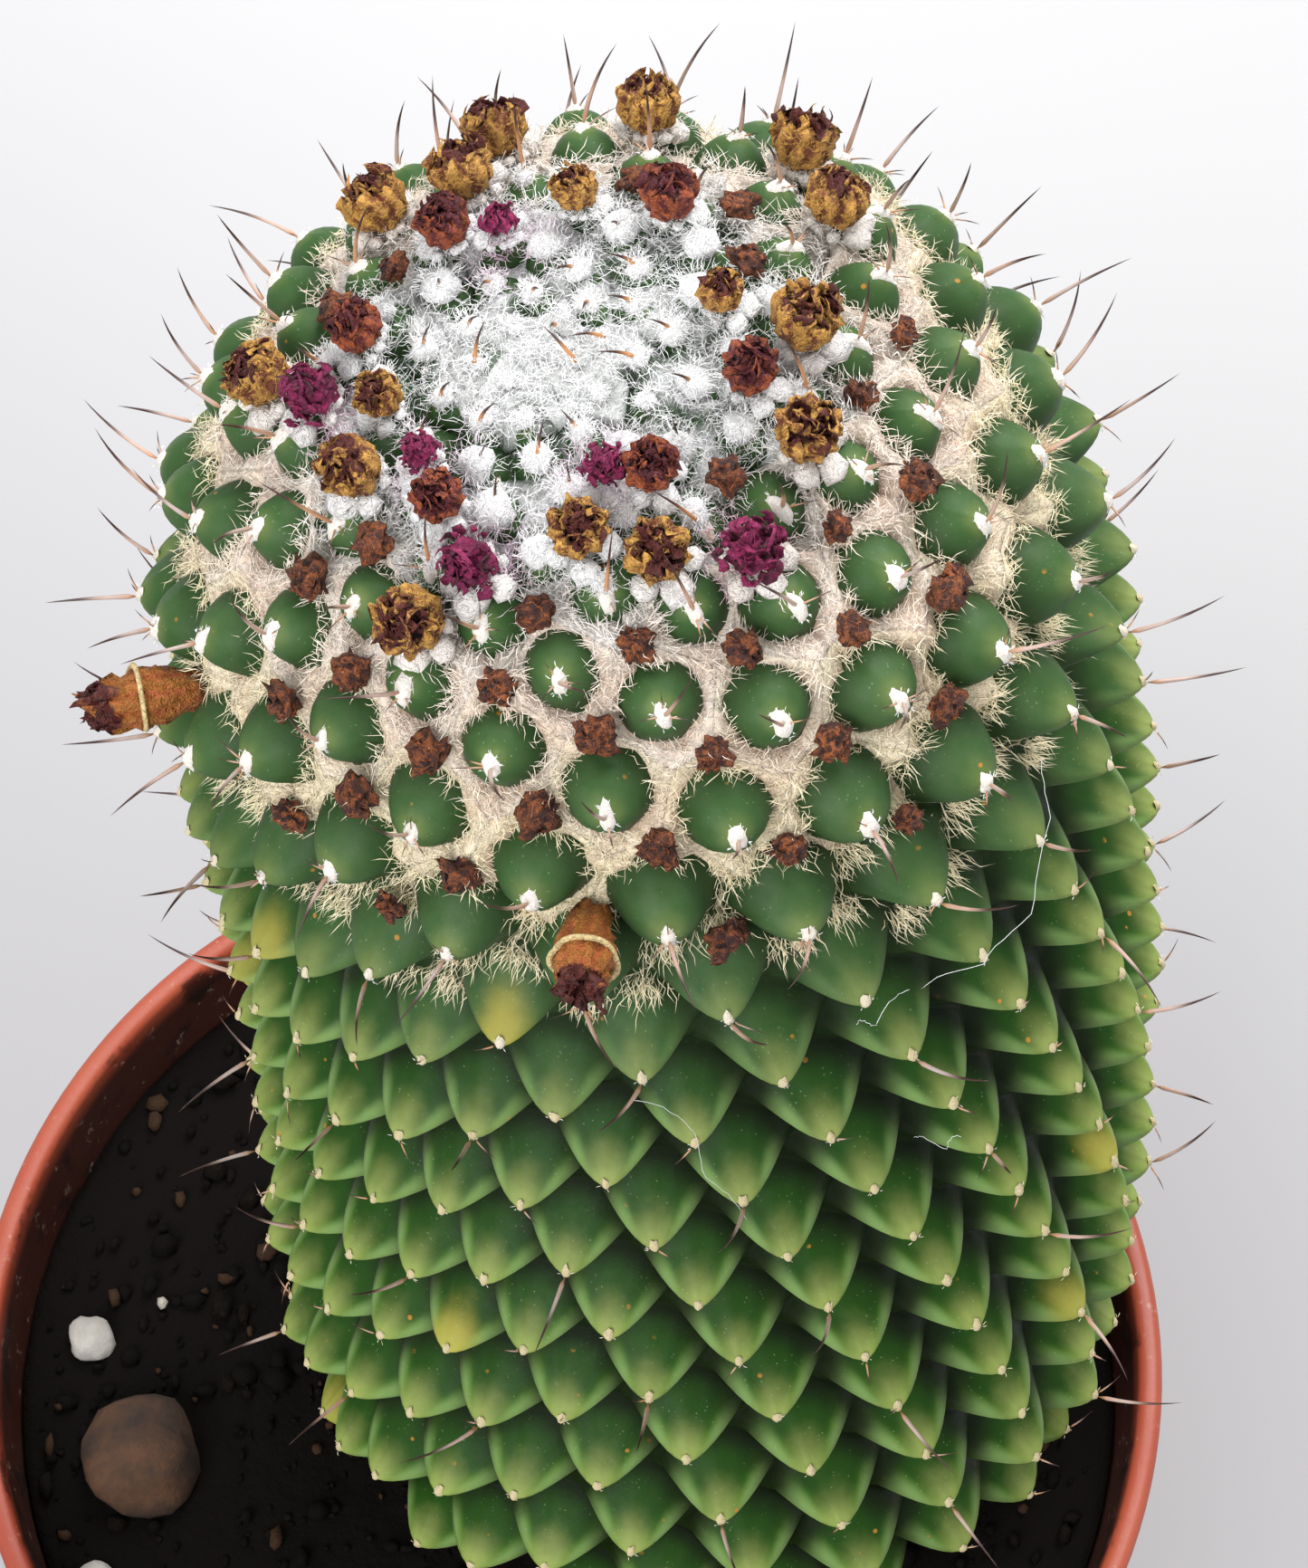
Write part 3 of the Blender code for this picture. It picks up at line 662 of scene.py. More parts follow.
@functools.cache
def flesh_looks():
    """Waxy green skin: painted shade in the valleys, yellow round the areole, with pale and orange specks."""
    stem = bpy.context.scene.mammillaria.stem
    waxy = {"Subsurface_Weight": 0.03, "Subsurface_Scale": 0.001, "Specular_IOR_Level": 0.10}
    looks = Looks("cactus skin", 0.48, **waxy)
    share, mottle = looks.mark("share"), looks.noise(240, 4)
    on_body = looks.between(looks.mark("age"), 0.25, 0.40)
    green = skin_green(looks, stem, mottle, on_body)
    halo = looks.between(share + mottle * 0.25, 0.62, 0.12) * (on_body * 0.35 + 0.30)
    green = looks.mix(halo, green, stem.tip_green)
    yellow = looks.mark("yellow") * looks.between(share + mottle * 0.3, 0.75, 0.35)
    green = looks.mix(yellow, green, stem.yellow)
    specks = looks.between(looks.dots(1500), 0.17, 0.09) * looks.between(looks.noise(420, 2), 0.42, 0.62)
    green = looks.mix(specks * 0.30, green, stem.specks)
    rust = looks.between(looks.dots(300), 0.10, 0.06) * looks.between(mottle, 0.48, 0.58)
    green = looks.mix(rust * 0.8, green, stem.rust_spots)
    # Painted shade: the skin darkens towards the valleys between the tubercles, most on the body.
    painted_valley_shade = looks.between(share + (mottle - 0.5) * 0.2, 0.46, 0.84) * (on_body * 0.52 + 0.40)
    green = looks.mix(painted_valley_shade, green, stem.valley)
    looks.set(Base_Color=green, Roughness=looks.noise(900, 2) * 0.25 + 0.34)
    return looks.bump(looks.noise(2600, 3) * 0.5 + looks.noise(500, 3), 0.00012, 0.5).material


def skin_green(looks, stem, mottle, on_body):
    """The skin's greens: bluer on the head, with painted shade on the body's upper faces and painted
    highlight on its ridges.
    """
    green = looks.mix(looks.between(looks.mark("age"), 0.28, 0.62), stem.head_green, stem.body_green)
    green = looks.mix(looks.between(mottle, 0.35, 0.7) * 0.45, green, stem.dark_green)
    # Painted shade on the body's upper faces, where the tubercle above shades them.
    hollow = looks.between(looks.mark("hollow"), 0.04, 0.60) * on_body
    green = looks.mix(hollow * 0.92, green, stem.hollow_shade_green)
    # Painted highlight along the body's ridges.
    ridge = looks.between(looks.mark("ridge"), 0.40, 0.92) * on_body
    return looks.mix(ridge * 0.95, green, stem.ridge_highlight_green)


def threads(looks, scale):
    """Thin curly lines, like the threads of matted wool, from 0 between them to 1 along them."""
    field = looks.noise(scale, 3, 0.5, distortion=1.2)
    return looks.between(abs(field - 0.5), 0.045, 0.008)


def below_crown(looks):
    """0 in the crown's wool and 1 in the wool below it."""
    return looks.between(looks.mark("age"), 0.07, 0.13)


def wool_colour(looks, wool):
    """The wool's colour by its age: white, then pinkish, then cream."""
    age = looks.mark("age")
    young = looks.mix(looks.between(age, 0.075, 0.125), wool.young, wool.middle)
    return looks.mix(looks.between(age, 0.13, 0.20), young, wool.old)


@functools.cache
def felt_looks():
    """Matted wool: white at the crown, pinkish and then cream further down, with a painted brown shadow
    beside the old knobs.
    """
    wool = bpy.context.scene.mammillaria.wool
    looks = Looks("matted wool", 0.95)
    strands = threads(looks, 420) * 0.6 + threads(looks, 800) * 0.6 + looks.noise(1700, 5, 0.75)
    shade = looks.mix(below_crown(looks), wool.shade, wool.warm_shade)
    colour = looks.mix(looks.between(strands, 1.0, 0.25) * 0.55, wool_colour(looks, wool), shade)
    patches = looks.between(looks.noise(130, 3), 0.46, 0.64) * below_crown(looks)
    colour = looks.mix(patches * 0.55, colour, wool.rosy)
    # Painted warm shadow where the felt meets the knobs below the crown.
    edge = looks.mark("edge") * below_crown(looks)
    colour = looks.mix(edge * looks.between(strands, 1.8, 0.7) * 0.7, colour, wool.edge)
    bare = looks.mark("bare") * looks.between(strands, 2.0, 0.9)
    looks.set(Base_Color=looks.mix(bare, colour, wool.seen_through))
    return looks.bump(strands, 0.0006, 0.8).material


@functools.cache
def fibre_looks():
    """Loose hairs of the wool, stained pink near the magenta flowers."""
    wool = bpy.context.scene.mammillaria.wool
    looks = Looks("wool fibres", 0.9)
    warm = below_crown(looks) * looks.between(looks.noise(300, 3), 0.65, 0.35) * 0.35
    colour = looks.mix(warm, wool_colour(looks, wool), wool.warm_shade)
    return looks.set(Base_Color=looks.mix(looks.mark("stained"), colour, wool.stain)).material


@functools.cache
def pad_looks():
    """The areoles' felt, white on the head and yellowish on the body, with fine down on it."""
    stem = bpy.context.scene.mammillaria.stem
    looks = Looks("areole felt", 0.95)
    down = looks.noise(3500, 4, 0.7)
    colour = looks.mix(looks.between(looks.mark("age"), 0.20, 0.36), stem.pad, stem.old_pad)
    colour = looks.mix(looks.between(down, 0.6, 0.3) * 0.5, colour, stem.pad_shade)
    looks.set(Base_Color=colour)
    return looks.bump(down, 0.0004, 0.8).material


@functools.cache
def spine_looks():
    """Spines: amber at the crown, grey-white from an amber foot when old, and dark at the tip."""
    spines = bpy.context.scene.mammillaria.spines
    looks = Looks("spines", 0.42)
    along = looks.mark("along")
    shaft = looks.mix(looks.mark("old"), spines.young, spines.old)
    shaft = looks.mix(looks.between(along, 0.25, 0.03) * 0.7, shaft, spines.young)
    streak = looks.between(looks.noise(1400, 3), 0.4, 0.7)
    shaft = looks.mix(streak * 0.35, shaft, spines.streak)
    tip = looks.between(along, 0.34, 0.66)
    return looks.set(Base_Color=looks.mix(tip, shaft, spines.tip)).material


def dried_looks(name, groove_colour_and_shade, crest, burnt, roughness=0.62, lit_range=(-0.05, 0.45)):
    """Dried flower tissue: painted highlight along its folds and veins and painted shade between them, over
    its own mottled colour, burnt where it is torn.
    """
    looks = Looks(name, roughness, Subsurface_Weight=0.05, Subsurface_Scale=0.0006)
    torn, fold = looks.mark("torn"), looks.mark("fold")
    crumple = looks.noise(1500, 5, 0.65)
    stain = looks.noise(420, 4, 0.6)
    veins = threads(looks, 520) + threads(looks, 1100) * 0.6
    # Painted light: the crest colour as highlight on folds and veins, the groove colour as shade between
    # them.
    lit = fold * 0.45 + veins * 0.45 + (crumple - 0.5) * 1.0 + (stain - 0.5) * 0.4
    colour = looks.mix(looks.between(lit, *lit_range), groove_colour_and_shade, crest)
    colour = looks.mix(looks.between(torn + (stain - 0.5) * 1.3, 0.40, 0.66), colour, burnt)
    looks.set(Base_Color=colour)
    return looks.bump(crumple + veins * 0.35, 0.0008, 1.0).material


@functools.cache
def plastic_looks():
    """Moulded red-brown plastic with a faint sheen, dusty and splashed with soil inside, its inner wall
    darkened below the rim with painted shade and dirt.
    """
    pot = bpy.context.scene.mammillaria.pot
    looks = Looks("nursery pot plastic", 0.42, Specular_IOR_Level=0.45)
    inside = looks.mark("inside")
    colour = looks.mix(looks.between(looks.noise(38, 5), 0.35, 0.7) * 0.5, pot.plastic, pot.pale)
    # Painted shade and dirt darken the inner wall below the rim.
    top, bottom = (POT_HEIGHT - depth for depth in INSIDE_SHADE_AND_DIRT)
    low = looks.between(looks.part_of_place("Z"), top, bottom) * inside
    colour = looks.mix(low * 0.9, colour, pot.dirt_and_shade)
    splash = looks.between(looks.noise(160, 5, 0.65), 0.52, 0.66) * inside
    colour = looks.mix(splash * 0.8, colour, pot.dirt_and_shade)
    dust = looks.between(looks.noise(520, 4, 0.7), 0.60, 0.72)
    colour = looks.mix(dust * 0.35, colour, pot.dust)
    looks.set(Base_Color=colour, Roughness=looks.noise(90, 4) * 0.3 + 0.30)
    return looks.bump(looks.noise(1500, 3), 0.00008, 0.4).material


@functools.cache
def soil_looks():
    """Damp potting mix: near black with brown bark and pale grit."""
    pot = bpy.context.scene.mammillaria.pot
    looks = Looks("potting mix", 0.95, Specular_IOR_Level=0.05)
    tone = looks.mark("tone")
    crumb = looks.noise(700, 5, 0.7)
    barky = looks.between(tone + (crumb - 0.5) * 0.5, 0.30, 0.75)
    colour = looks.mix(barky, pot.soil, pot.bark)
    looks.set(Base_Color=looks.mix(looks.between(tone, 0.90, 0.95), colour, pot.grit))
    return looks.bump(crumb, 0.0006, 0.9).material


def stone_looks(name, colour, dark):
    """Rough stone, clouded and pitted with a darker colour."""
    looks = Looks(name, 0.85)
    grain = looks.noise(650, 5, 0.7)
    mixed = looks.mix(looks.between(looks.noise(140, 4), 0.35, 0.68), colour, dark)
    mixed = looks.mix(looks.between(grain, 0.62, 0.40) * 0.35, mixed, dark)
    looks.set(Base_Color=mixed)
    return looks.bump(grain, 0.0004, 0.8).material


# Meshes


class Heap:
    """Many small meshes gathered into one piece, with numbers kept at their points for the material."""

    def __init__(self, *marks):
        self.points, self.faces, self.count = [], [], 0
        self.marks = {mark: [] for mark in marks}

    def add(self, points, faces, **marks):
        """Adds points of shape (..., 3), and arrays of faces that count from the first of them."""
        points = np.asarray(points, float).reshape(-1, 3)
        self.points.append(points)
        for face in faces:
            self.faces.append(np.asarray(face) + self.count)
        for mark, values in self.marks.items():
            given = np.broadcast_to(np.asarray(marks.get(mark, 0.0), float).ravel(), len(points))
            values.append(given)
        self.count += len(points)

    def add_copies(self, points, faces, **marks):
        """Adds points of shape (copies, points, 3) that all have the same faces."""
        copies, each = points.shape[:2]
        steps = each * np.arange(copies)[:, None, None]
        spread = [(np.asarray(face) + steps).reshape(-1, np.asarray(face).shape[1]) for face in faces]
        marks = {k: np.broadcast_to(np.asarray(v, float), (copies, each)) for k, v in marks.items()}
        self.add(points, spread, **marks)

    def piece(self, name, material, slot, replaces=()):
        """The finished piece, shaded smooth, that rides on the part's body."""
        mesh = bpy.data.meshes.new(name)
        corners = np.concatenate([face.ravel() for face in self.faces])
        sizes = np.concatenate([np.full(len(face), face.shape[1]) for face in self.faces])
        mesh.vertices.add(self.count)
        mesh.vertices.foreach_set("co", np.concatenate(self.points).ravel())
        mesh.loops.add(len(corners))
        mesh.loops.foreach_set("vertex_index", corners.astype(np.int32))
        mesh.polygons.add(len(sizes))
        mesh.polygons.foreach_set("loop_start", (np.cumsum(sizes) - sizes).astype(np.int32))
        mesh.update(calc_edges=True)
        mesh.validate()
        mesh.shade_smooth()
        for mark, values in self.marks.items():
            data = mesh.attributes.new(mark, "FLOAT", "POINT").data
            data.foreach_set("value", np.concatenate(values).astype(np.float32))
        return settle(linked(name, mesh), material, replaces)


def linked(name, data):
    """A new object that shows a mesh, a lamp or a camera in the scene."""
    obj = bpy.data.objects.new(name, data)
    bpy.context.scene.collection.objects.link(obj)
    return obj


def settle(obj, material, replaces=()):
    """Gives a finished piece its material and rides it on the part's body."""
    obj.data.materials.clear()
    obj.data.materials.append(material)
    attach(obj, "root")
    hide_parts(*replaces)
    return obj


def ring_faces(rings, around, closed_end=True):
    """Quads between rings of points laid one after another, and a fan to one more point after them."""
    ring, spot = np.meshgrid(np.arange(rings - 1), np.arange(around), indexing="ij")
    ring, spot = ring.ravel(), spot.ravel()
    following = (spot + 1) % around
    low, high = ring * around, (ring + 1) * around
    faces = [np.stack([low + spot, low + following, high + following, high + spot], 1)]
    if closed_end:
        faces.append(fan(rings * around, around, (rings - 1) * around))
    return faces


def fan(point, around, first=0):
    """Triangles from each two neighbours of a ring, from its first point on, to a point above them."""
    spot = np.arange(around)
    return np.stack([first + spot, first + (spot + 1) % around, np.full(around, point)], 1)


def end_fan(point, around):
    """Triangles from each two neighbours of the first ring to a point below them."""
    spot = np.arange(around)
    return np.stack([(spot + 1) % around, spot, np.full(around, point)], 1)


def tube_faces(rings, around):
    """The faces of a tube laid out as its first point, its rings and its last point."""
    faces = [face + 1 for face in ring_faces(rings, around)]
    spot = np.arange(around)
    faces.append(np.stack([np.zeros(around, int), 1 + (spot + 1) % around, 1 + spot], 1))
    return faces


def add_tubes(heap, path, radii, sides, rng, flat=1.0, **marks):
    """Tubes along paths of shape (tubes, points, 3), drawn to a point at both ends."""
    count, steps = path.shape[:2]
    radii = np.broadcast_to(radii, (count, steps))[:, 1:-1, None, None]
    along = unit(np.gradient(path, axis=1))[:, 1:-1]
    aside = unit(np.cross(along, unit(rng.normal(size=(count, 1, 3)))))
    other = np.cross(along, aside)
    turn = circle(sides)
    swing = np.cos(turn)[:, None] * aside[:, :, None] + flat * np.sin(turn)[:, None] * other[:, :, None]
    rings = (path[:, 1:-1, None] + radii * swing).reshape(count, -1, 3)
    points = np.concatenate([path[:, :1], rings, path[:, -1:]], axis=1)
    share = np.concatenate([[0], np.repeat(np.linspace(0, 1, steps)[1:-1], sides), [1]])
    each = {k: np.asarray(v, float).reshape(-1, 1) for k, v in marks.items()}
    if "along" in heap.marks:
        each["along"] = share
    heap.add_copies(points, tube_faces(steps - 2, sides), **each)


def curly(roots, ways, lengths, curl, rng, steps=5, turns=1.1):
    """Paths of curly hairs from their roots."""
    count = len(roots)
    ways = unit(ways)
    aside = unit(np.cross(ways, rng.normal(size=(count, 3))))
    other = np.cross(ways, aside)
    t = np.linspace(0, 1, steps)
    swing = curl * rng.uniform(0.4, 1.6, (count, 1)) * np.minimum(t * 3, 1)
    angle = rng.uniform(0, 2 * np.pi, (count, 1)) + 2 * np.pi * turns * rng.uniform(0.6, 1.4, (count, 1)) * t
    straight = roots[:, None] + ways[:, None] * (lengths[:, None] * t)[..., None]
    round_about = np.cos(angle)[..., None] * aside[:, None] + np.sin(angle)[..., None] * other[:, None]
    return straight + round_about * swing[..., None]


def add_hairs(heap, roots, ways, lengths, curl, radii, rng, turns=0.8, **marks):
    """Short curly hairs from their roots."""
    paths = curly(roots, ways, lengths, curl, rng, steps=4, turns=turns)
    add_tubes(heap, paths, radii, HAIR_SIDES, rng, **marks)


def frames(arc, turn):
    """The outward, downward and sideways directions of the stem at arc lengths and turns."""
    out = off_stem(arc, turn)
    down = unit(on_stem(np.asarray(arc) + NUDGE, turn) - on_stem(arc, turn))
    return out, down, np.cross(out, down)


@functools.cache
def ball(divisions):
    """Points and faces of a unit ball."""
    bm = bmesh.new()
    bmesh.ops.create_icosphere(bm, subdivisions=divisions, radius=1)
    points = np.array([v.co for v in bm.verts])
    faces = np.array([[v.index for v in f.verts] for f in bm.faces])
    bm.free()
    return points, faces


# The stem


@functools.cache
def axil_frames():
    """Where each axil is, its arc length and its outward direction."""
    _, axils = stem_cells()
    arc, turn = np.array(axils).T
    return on_stem(arc, turn), arc, off_stem(arc, turn)


def boundary(cell, per_edge):
    """The valley line round a cell, the same from both sides of each edge: keys, points, arcs and normals."""
    places, arcs, normals = axil_frames()
    ring = cell.ring
    ends = [(min(a, b), max(a, b), a < b) for a, b in zip(ring, ring[1:] + ring[:1])]
    first, last, forward = (np.repeat([end[i] for end in ends], per_edge) for i in range(3))
    step = np.tile(np.arange(per_edge), len(ring))
    step = np.where(forward, step, per_edge - step)
    keys = [(a, b, k) if 0 < k < per_edge else (b if k else a,) for a, b, k in zip(first, last, step)]
    t = (step / per_edge)[:, None]
    outward = unit(normals[first] * (1 - t) + normals[last] * t)
    points = places[first] * (1 - t) + places[last] * t + outward * SADDLE * np.sin(np.pi * t)
    return keys, points, arcs[first] * (1 - t[:, 0]) + arcs[last] * t[:, 0], outward


def four_angled(cell, arms):
    """How far a four-angled tubercle reaches along each arm, and how near the arm is to its side ridges."""
    down, side = arms @ cell.down, arms @ cell.side
    angle = np.arctan2(side, down)
    power = np.where(np.abs(angle) < np.pi / 2, *SQUARENESS)
    c, s = np.abs(np.cos(angle)), np.abs(np.sin(angle))
    return cell.reach * PYRAMID_REACH / (c**power + s**power) ** (1 / power), s


def tubercle(cell, points):
    """Rings of points from the valley line to the tip, with the marks for the skin."""
    arms = points - cell.middle
    length = np.linalg.norm(arms, axis=1)
    angled, sideways = four_angled(cell, unit(arms))
    wanted = cell.reach * KNOB_REACH * (1 - cell.pyramid) + angled * cell.pyramid
    levels = np.array(LEVELS)[:, None]
    drawn = arms * (1 + (wanted / length - 1) * smooth_step(1.0, 0.85, levels))[..., None]
    rings = cell.middle + drawn * levels[..., None] + cell.lifted(cell.height(levels))
    span = np.sin(np.pi * np.clip(1.05 - levels, 0, 1))
    hollow = np.clip(-(unit(arms) @ cell.down), 0, 1) ** 1.5 * span
    ridge = sideways**4 * span
    rings = rings + (cell.pyramid * (RIDGE * ridge - HOLLOW * hollow))[..., None] * cell.out
    # The hollow and ridge marks also steer the skin's painted shade on upper faces and painted highlight on
    # ridges.
    marks = {"share": levels + 0 * length, "ridge": ridge, "hollow": hollow}
    return rings, marks


def dress_stem(stem):
    """The head's round knobs and the body's four-angled tubercles, as two pieces that meet in a valley."""
    cells = stem_cells()[0].values()
    rng = np.random.default_rng(SEED)
    head, body = Skin(stem.edge_points), Skin(stem.edge_points)
    for cell in cells:
        (head if cell.arc < HEAD_END else body).grow(cell)
    head.finish(rng)
    body.finish(rng)
    body.close_below()
    head.heap.piece("stem_head", flesh_looks(), "stem", ("stem",))
    return body.heap.piece("stem_body", flesh_looks(), "stem", ("stem",))


class Skin:
    """The skin over some cells: the valley points they share, and each one's tubercle over its own."""

    def __init__(self, per_edge):
        self.heap = Heap("share", "age", "ridge", "hollow", "yellow")
        self.per_edge = per_edge
        self.known, self.valley, self.ages, self.grown = {}, [], [], []

    def grow(self, cell):
        """Works out a cell's valley points and tubercle."""
        keys, points, _, _ = boundary(cell, self.per_edge)
        ids = []
        for key, point in zip(keys, points):
            if key not in self.known:
                self.known[key] = len(self.valley)
                self.valley.append(point)
                self.ages.append(cell.age)
            ids.append(self.known[key])
            self.ages[ids[-1]] = cell.age
        self.grown.append((cell, ids, *tubercle(cell, points)))

    def finish(self, rng):
        """Puts the valley points and then every tubercle on the heap."""
        self.heap.add(np.array(self.valley), [], share=1.0, age=np.array(self.ages))
        for cell, ids, rings, marks in self.grown:
            self.add_tubercle(cell, ids, rings, marks, rng)

    def add_tubercle(self, cell, ids, rings, marks, rng):
        """One tubercle's rings over the valley points it shares with its neighbours."""
        count = len(ids)
        chosen = float(rng.uniform() < YELLOWED_CHANCE and cell.pyramid > 0.9)
        yellow = chosen * rng.uniform(*YELLOWED)
        spot = np.arange(count)
        start = self.heap.count
        join = np.stack([ids, np.roll(ids, -1), start + (spot + 1) % count, start + spot], 1) - start
        points = np.concatenate([rings[1:].reshape(-1, 3), cell.middle[None] + cell.lifted(1.0)])
        marks = {key: np.append(values[1:], 0.0) for key, values in marks.items()}
        faces = [*ring_faces(len(LEVELS) - 1, count), join]
        self.heap.add(points, faces, age=cell.age, yellow=yellow, **marks)

    def close_below(self):
        """Draws the stem's open lower edge together to the root's point in the soil."""
        pairs = dict.fromkeys(pair for _, ids, *_ in self.grown for pair in zip(ids, ids[1:] + ids[:1]))
        places = self.heap.points[0]
        lower_edge = SOIL_LEVEL + OPEN_EDGE
        rim = [(a, b) for a, b in pairs if (b, a) not in pairs and places[a][2] < lower_edge]
        point = self.heap.count
        foot = STEM_FOOT - np.array((0, 0, ROOT_DEPTH))
        faces = np.array([(b - point, a - point, 0) for a, b in rim])
        self.heap.add(foot[None], [faces], share=1.0, age=1.0)


# Areoles and spines


def dress_areoles():
    """A felt pad on every tubercle's tip, and a fringe of down round it."""
    cells, _ = stem_cells()
    rng = np.random.default_rng(SEED + 1)
    pads, down = Heap("age"), Heap("age", "stained")
    for cell in cells.values():
        if cell.arc >= CAP_END:
            rings = add_pad(pads, cell, rng)
            add_fringe(down, cell, rings, rng)
    pads.piece("areole_pads", pad_looks(), "wool")
    return down.piece("areole_down", fibre_looks(), "wool")


def add_pad(heap, cell, rng):
    """One areole's ragged pad, flatter on the body, and its rings from the edge in."""
    size = np.array(PAD_SIZE) + (np.array(OLD_PAD_SIZE) - PAD_SIZE) * cell.pyramid
    size = size * rng.uniform(*PAD_VARIETY, 2)
    turn = circle(PAD_SIDES)
    ragged = 1 + PAD_RAGGED * rng.uniform(-1, 1, PAD_SIDES)
    x = np.outer(PAD_RINGS, size[0] * np.sin(turn) * ragged)
    y = np.outer(PAD_RINGS, size[1] * np.cos(turn) * ragged) + PAD_SHIFT * (1 - cell.pyramid)
    flatter = 1 - PAD_FLATTENING * cell.pyramid
    lift = np.array(PAD_LIFT)[:, None] * flatter + PAD_BUMP * rng.uniform(-1, 1, x.shape)
    rings = cell.surface(x, y) + cell.out * lift[..., None]
    top = cell.surface(np.array([0.0]), np.array([y.mean()])) + cell.out * PAD_TOP * flatter
    points = np.concatenate([rings.reshape(-1, 3), top])
    heap.add(points, ring_faces(len(PAD_RINGS), PAD_SIDES), age=cell.age)
    return rings


def add_fringe(heap, cell, rings, rng):
    """The down round a pad, thick on the head and thin on the body."""
    count = int(round(FRINGE_HAIRS[0] + (FRINGE_HAIRS[1] - FRINGE_HAIRS[0]) * cell.pyramid))
    pick = rng.integers(0, PAD_SIDES, count)
    roots = rings[1][pick] + cell.out * FRINGE_LIFT
    away = unit(rings[0][pick] - rings.reshape(-1, 3).mean(0))
    ways = away + cell.out * 0.35 + 0.35 * rng.normal(size=(count, 3))
    lengths = rng.uniform(*FRINGE_LENGTH, count)
    add_hairs(heap, roots, ways, lengths, FRINGE_CURL, FRINGE_RADIUS, rng, turns=0.5, age=cell.age * 0.3)


def spine_path(foot, way, bend, length, steps=9):
    """A spine's bowed line from its foot, setting out one way and bending to another."""
    t = np.linspace(0, 1, steps)[:, None]
    middle = foot + unit(way) * length / 2
    tip = middle + unit(bend) * length / 2
    return foot * (1 - t) ** 2 + middle * 2 * t * (1 - t) + tip * t**2


def spine_radii(radius, steps=9):
    """A spine's radius along it: a little swollen at its foot and drawn out to its tip."""
    t = np.linspace(0, 1, steps)
    return radius * (1 - t) ** 0.7 * (1 + 0.35 * np.exp(-((t / 0.08) ** 2)))


def dress_spines(spines):
    """One long bowed spine on each areole of the head and some of the body, and a few short ones round it."""
    cells, _ = stem_cells()
    draws = random.Random(SEED)
    rng = np.random.default_rng(SEED + 2)
    heap = Heap("along", "old")
    for cell in cells.values():
        if cell.arc < CAP_END:
            if CROWN_SPINE_ARC[0] < cell.arc < CROWN_SPINE_ARC[1] and rng.uniform() < CROWN_SPINE_CHANCE:
                crown_spine(heap, cell, rng)
            continue
        foot = cell.surface(np.array([0.0]), np.array([PAD_SHIFT * (1 - cell.pyramid)]))[0]
        armed_body = cell.number % BODY_SPINES_EVERY == 0 and cell.middle[2] > LOWEST_SPINE
        if cell.arc < HEAD_END or armed_body:
            long_spine(heap, cell, foot, spines, draws, rng)
        short_spines(heap, cell, foot, spines.radius, rng)
    return heap.piece("spines", spine_looks(), "stem")


def long_spine(heap, cell, foot, spines, draws, rng):
    """An areole's long spine, where the solids have it."""
    grey = float(smooth_step(*GREYING_ARC, cell.arc))
    lean = cell.down * draws.uniform(*SPINE_DROOP) + cell.side * draws.uniform(-SPINE_SWAY, SPINE_SWAY)
    length = SPINE_LENGTH * draws.uniform(*SPINE_VARIETY) * spines.length_share
    path = spine_path(foot, cell.out + lean, cell.out + lean * SPINE_BOW, length)
    old = grey * rng.uniform(0.6, 1.0)
    add_tubes(heap, path[None], spine_radii(spines.radius), SPINE_SIDES, rng, old=old)


def short_spines(heap, cell, foot, radius, rng):
    """Up to three short spines of the head's areoles, and one at most of the body's."""
    count = rng.integers(1, 4) if cell.pyramid < 0.7 else rng.integers(0, 2)
    for _ in range(count):
        turn = rng.uniform(0, 2 * np.pi)
        aside = np.cos(turn) * cell.side + np.sin(turn) * cell.down
        length = rng.uniform(*SHORT_SPINE_LENGTH)
        ways = aside + cell.out * 0.7, aside + cell.out * 0.3
        path = spine_path(foot + aside * SHORT_SPINE_SPREAD, *ways, length)
        radii = spine_radii(radius * SHORT_SPINE_RADIUS)
        add_tubes(heap, path[None], radii, SHORT_SPINE_SIDES, rng, old=rng.uniform(0.2, 0.7))


def crown_spine(heap, cell, rng):
    """A short amber spine out of a young areole's wool, bowed in over the growing point."""
    foot = cell.middle + cell.out * (float(felt_rise(cell.arc)) + CROWN_SPINE_LIFT)
    lean = -cell.down * rng.uniform(0.4, 1.0) + cell.side * rng.uniform(-0.5, 0.5)
    length = rng.uniform(*CROWN_SPINE_LENGTH)
    path = spine_path(foot, cell.out + lean * 0.5, cell.out * 0.4 + lean, length)
    add_tubes(heap, path[None], spine_radii(CROWN_SPINE_RADIUS), SPINE_SIDES, rng, old=0.0)


# Wool


def felt_rise(arc):
    """How high the felt stands in the valleys."""
    return np.interp(arc, FELT_ARC, FELT_RISE)


def bareness(points, arc):
    """Where the crown's wool is so thin that the young tubercles show through it, from 0 to 1."""
    patchy = noise_at(points * BARE_SCALE)
    ring = smooth_step(*BARE_INNER, arc) * smooth_step(*BARE_OUTER, arc)
    return smooth_step(-0.02, 0.18, patchy) * ring


def cornering(count, per_edge):
    """How near each point of a cell's valley line is to an axil, from 0 half way between two to 1."""
    return np.abs(np.arange(count) % per_edge / per_edge - 0.5) * 2


def felt_band(cell, per_edge):
    """The valley line round a woolly cell, its normals, and how high the wool stands at its points."""
    _, valley, arcs, outward = boundary(cell, per_edge)
    uneven = 1 + FELT_UNEVEN * noise_at(valley * 130)
    corner = cornering(len(valley), per_edge)
    loose = smooth_step(*LOOSE_ARC, arcs)
    fading = 1 - smooth_step(*FADING_ARC, arcs)
    thin = (FELT_THINNING[0] + FELT_THINNING[1] * loose) * (1 - corner)
    return valley, outward, felt_rise(arcs) * uneven * (1 - thin) * fading


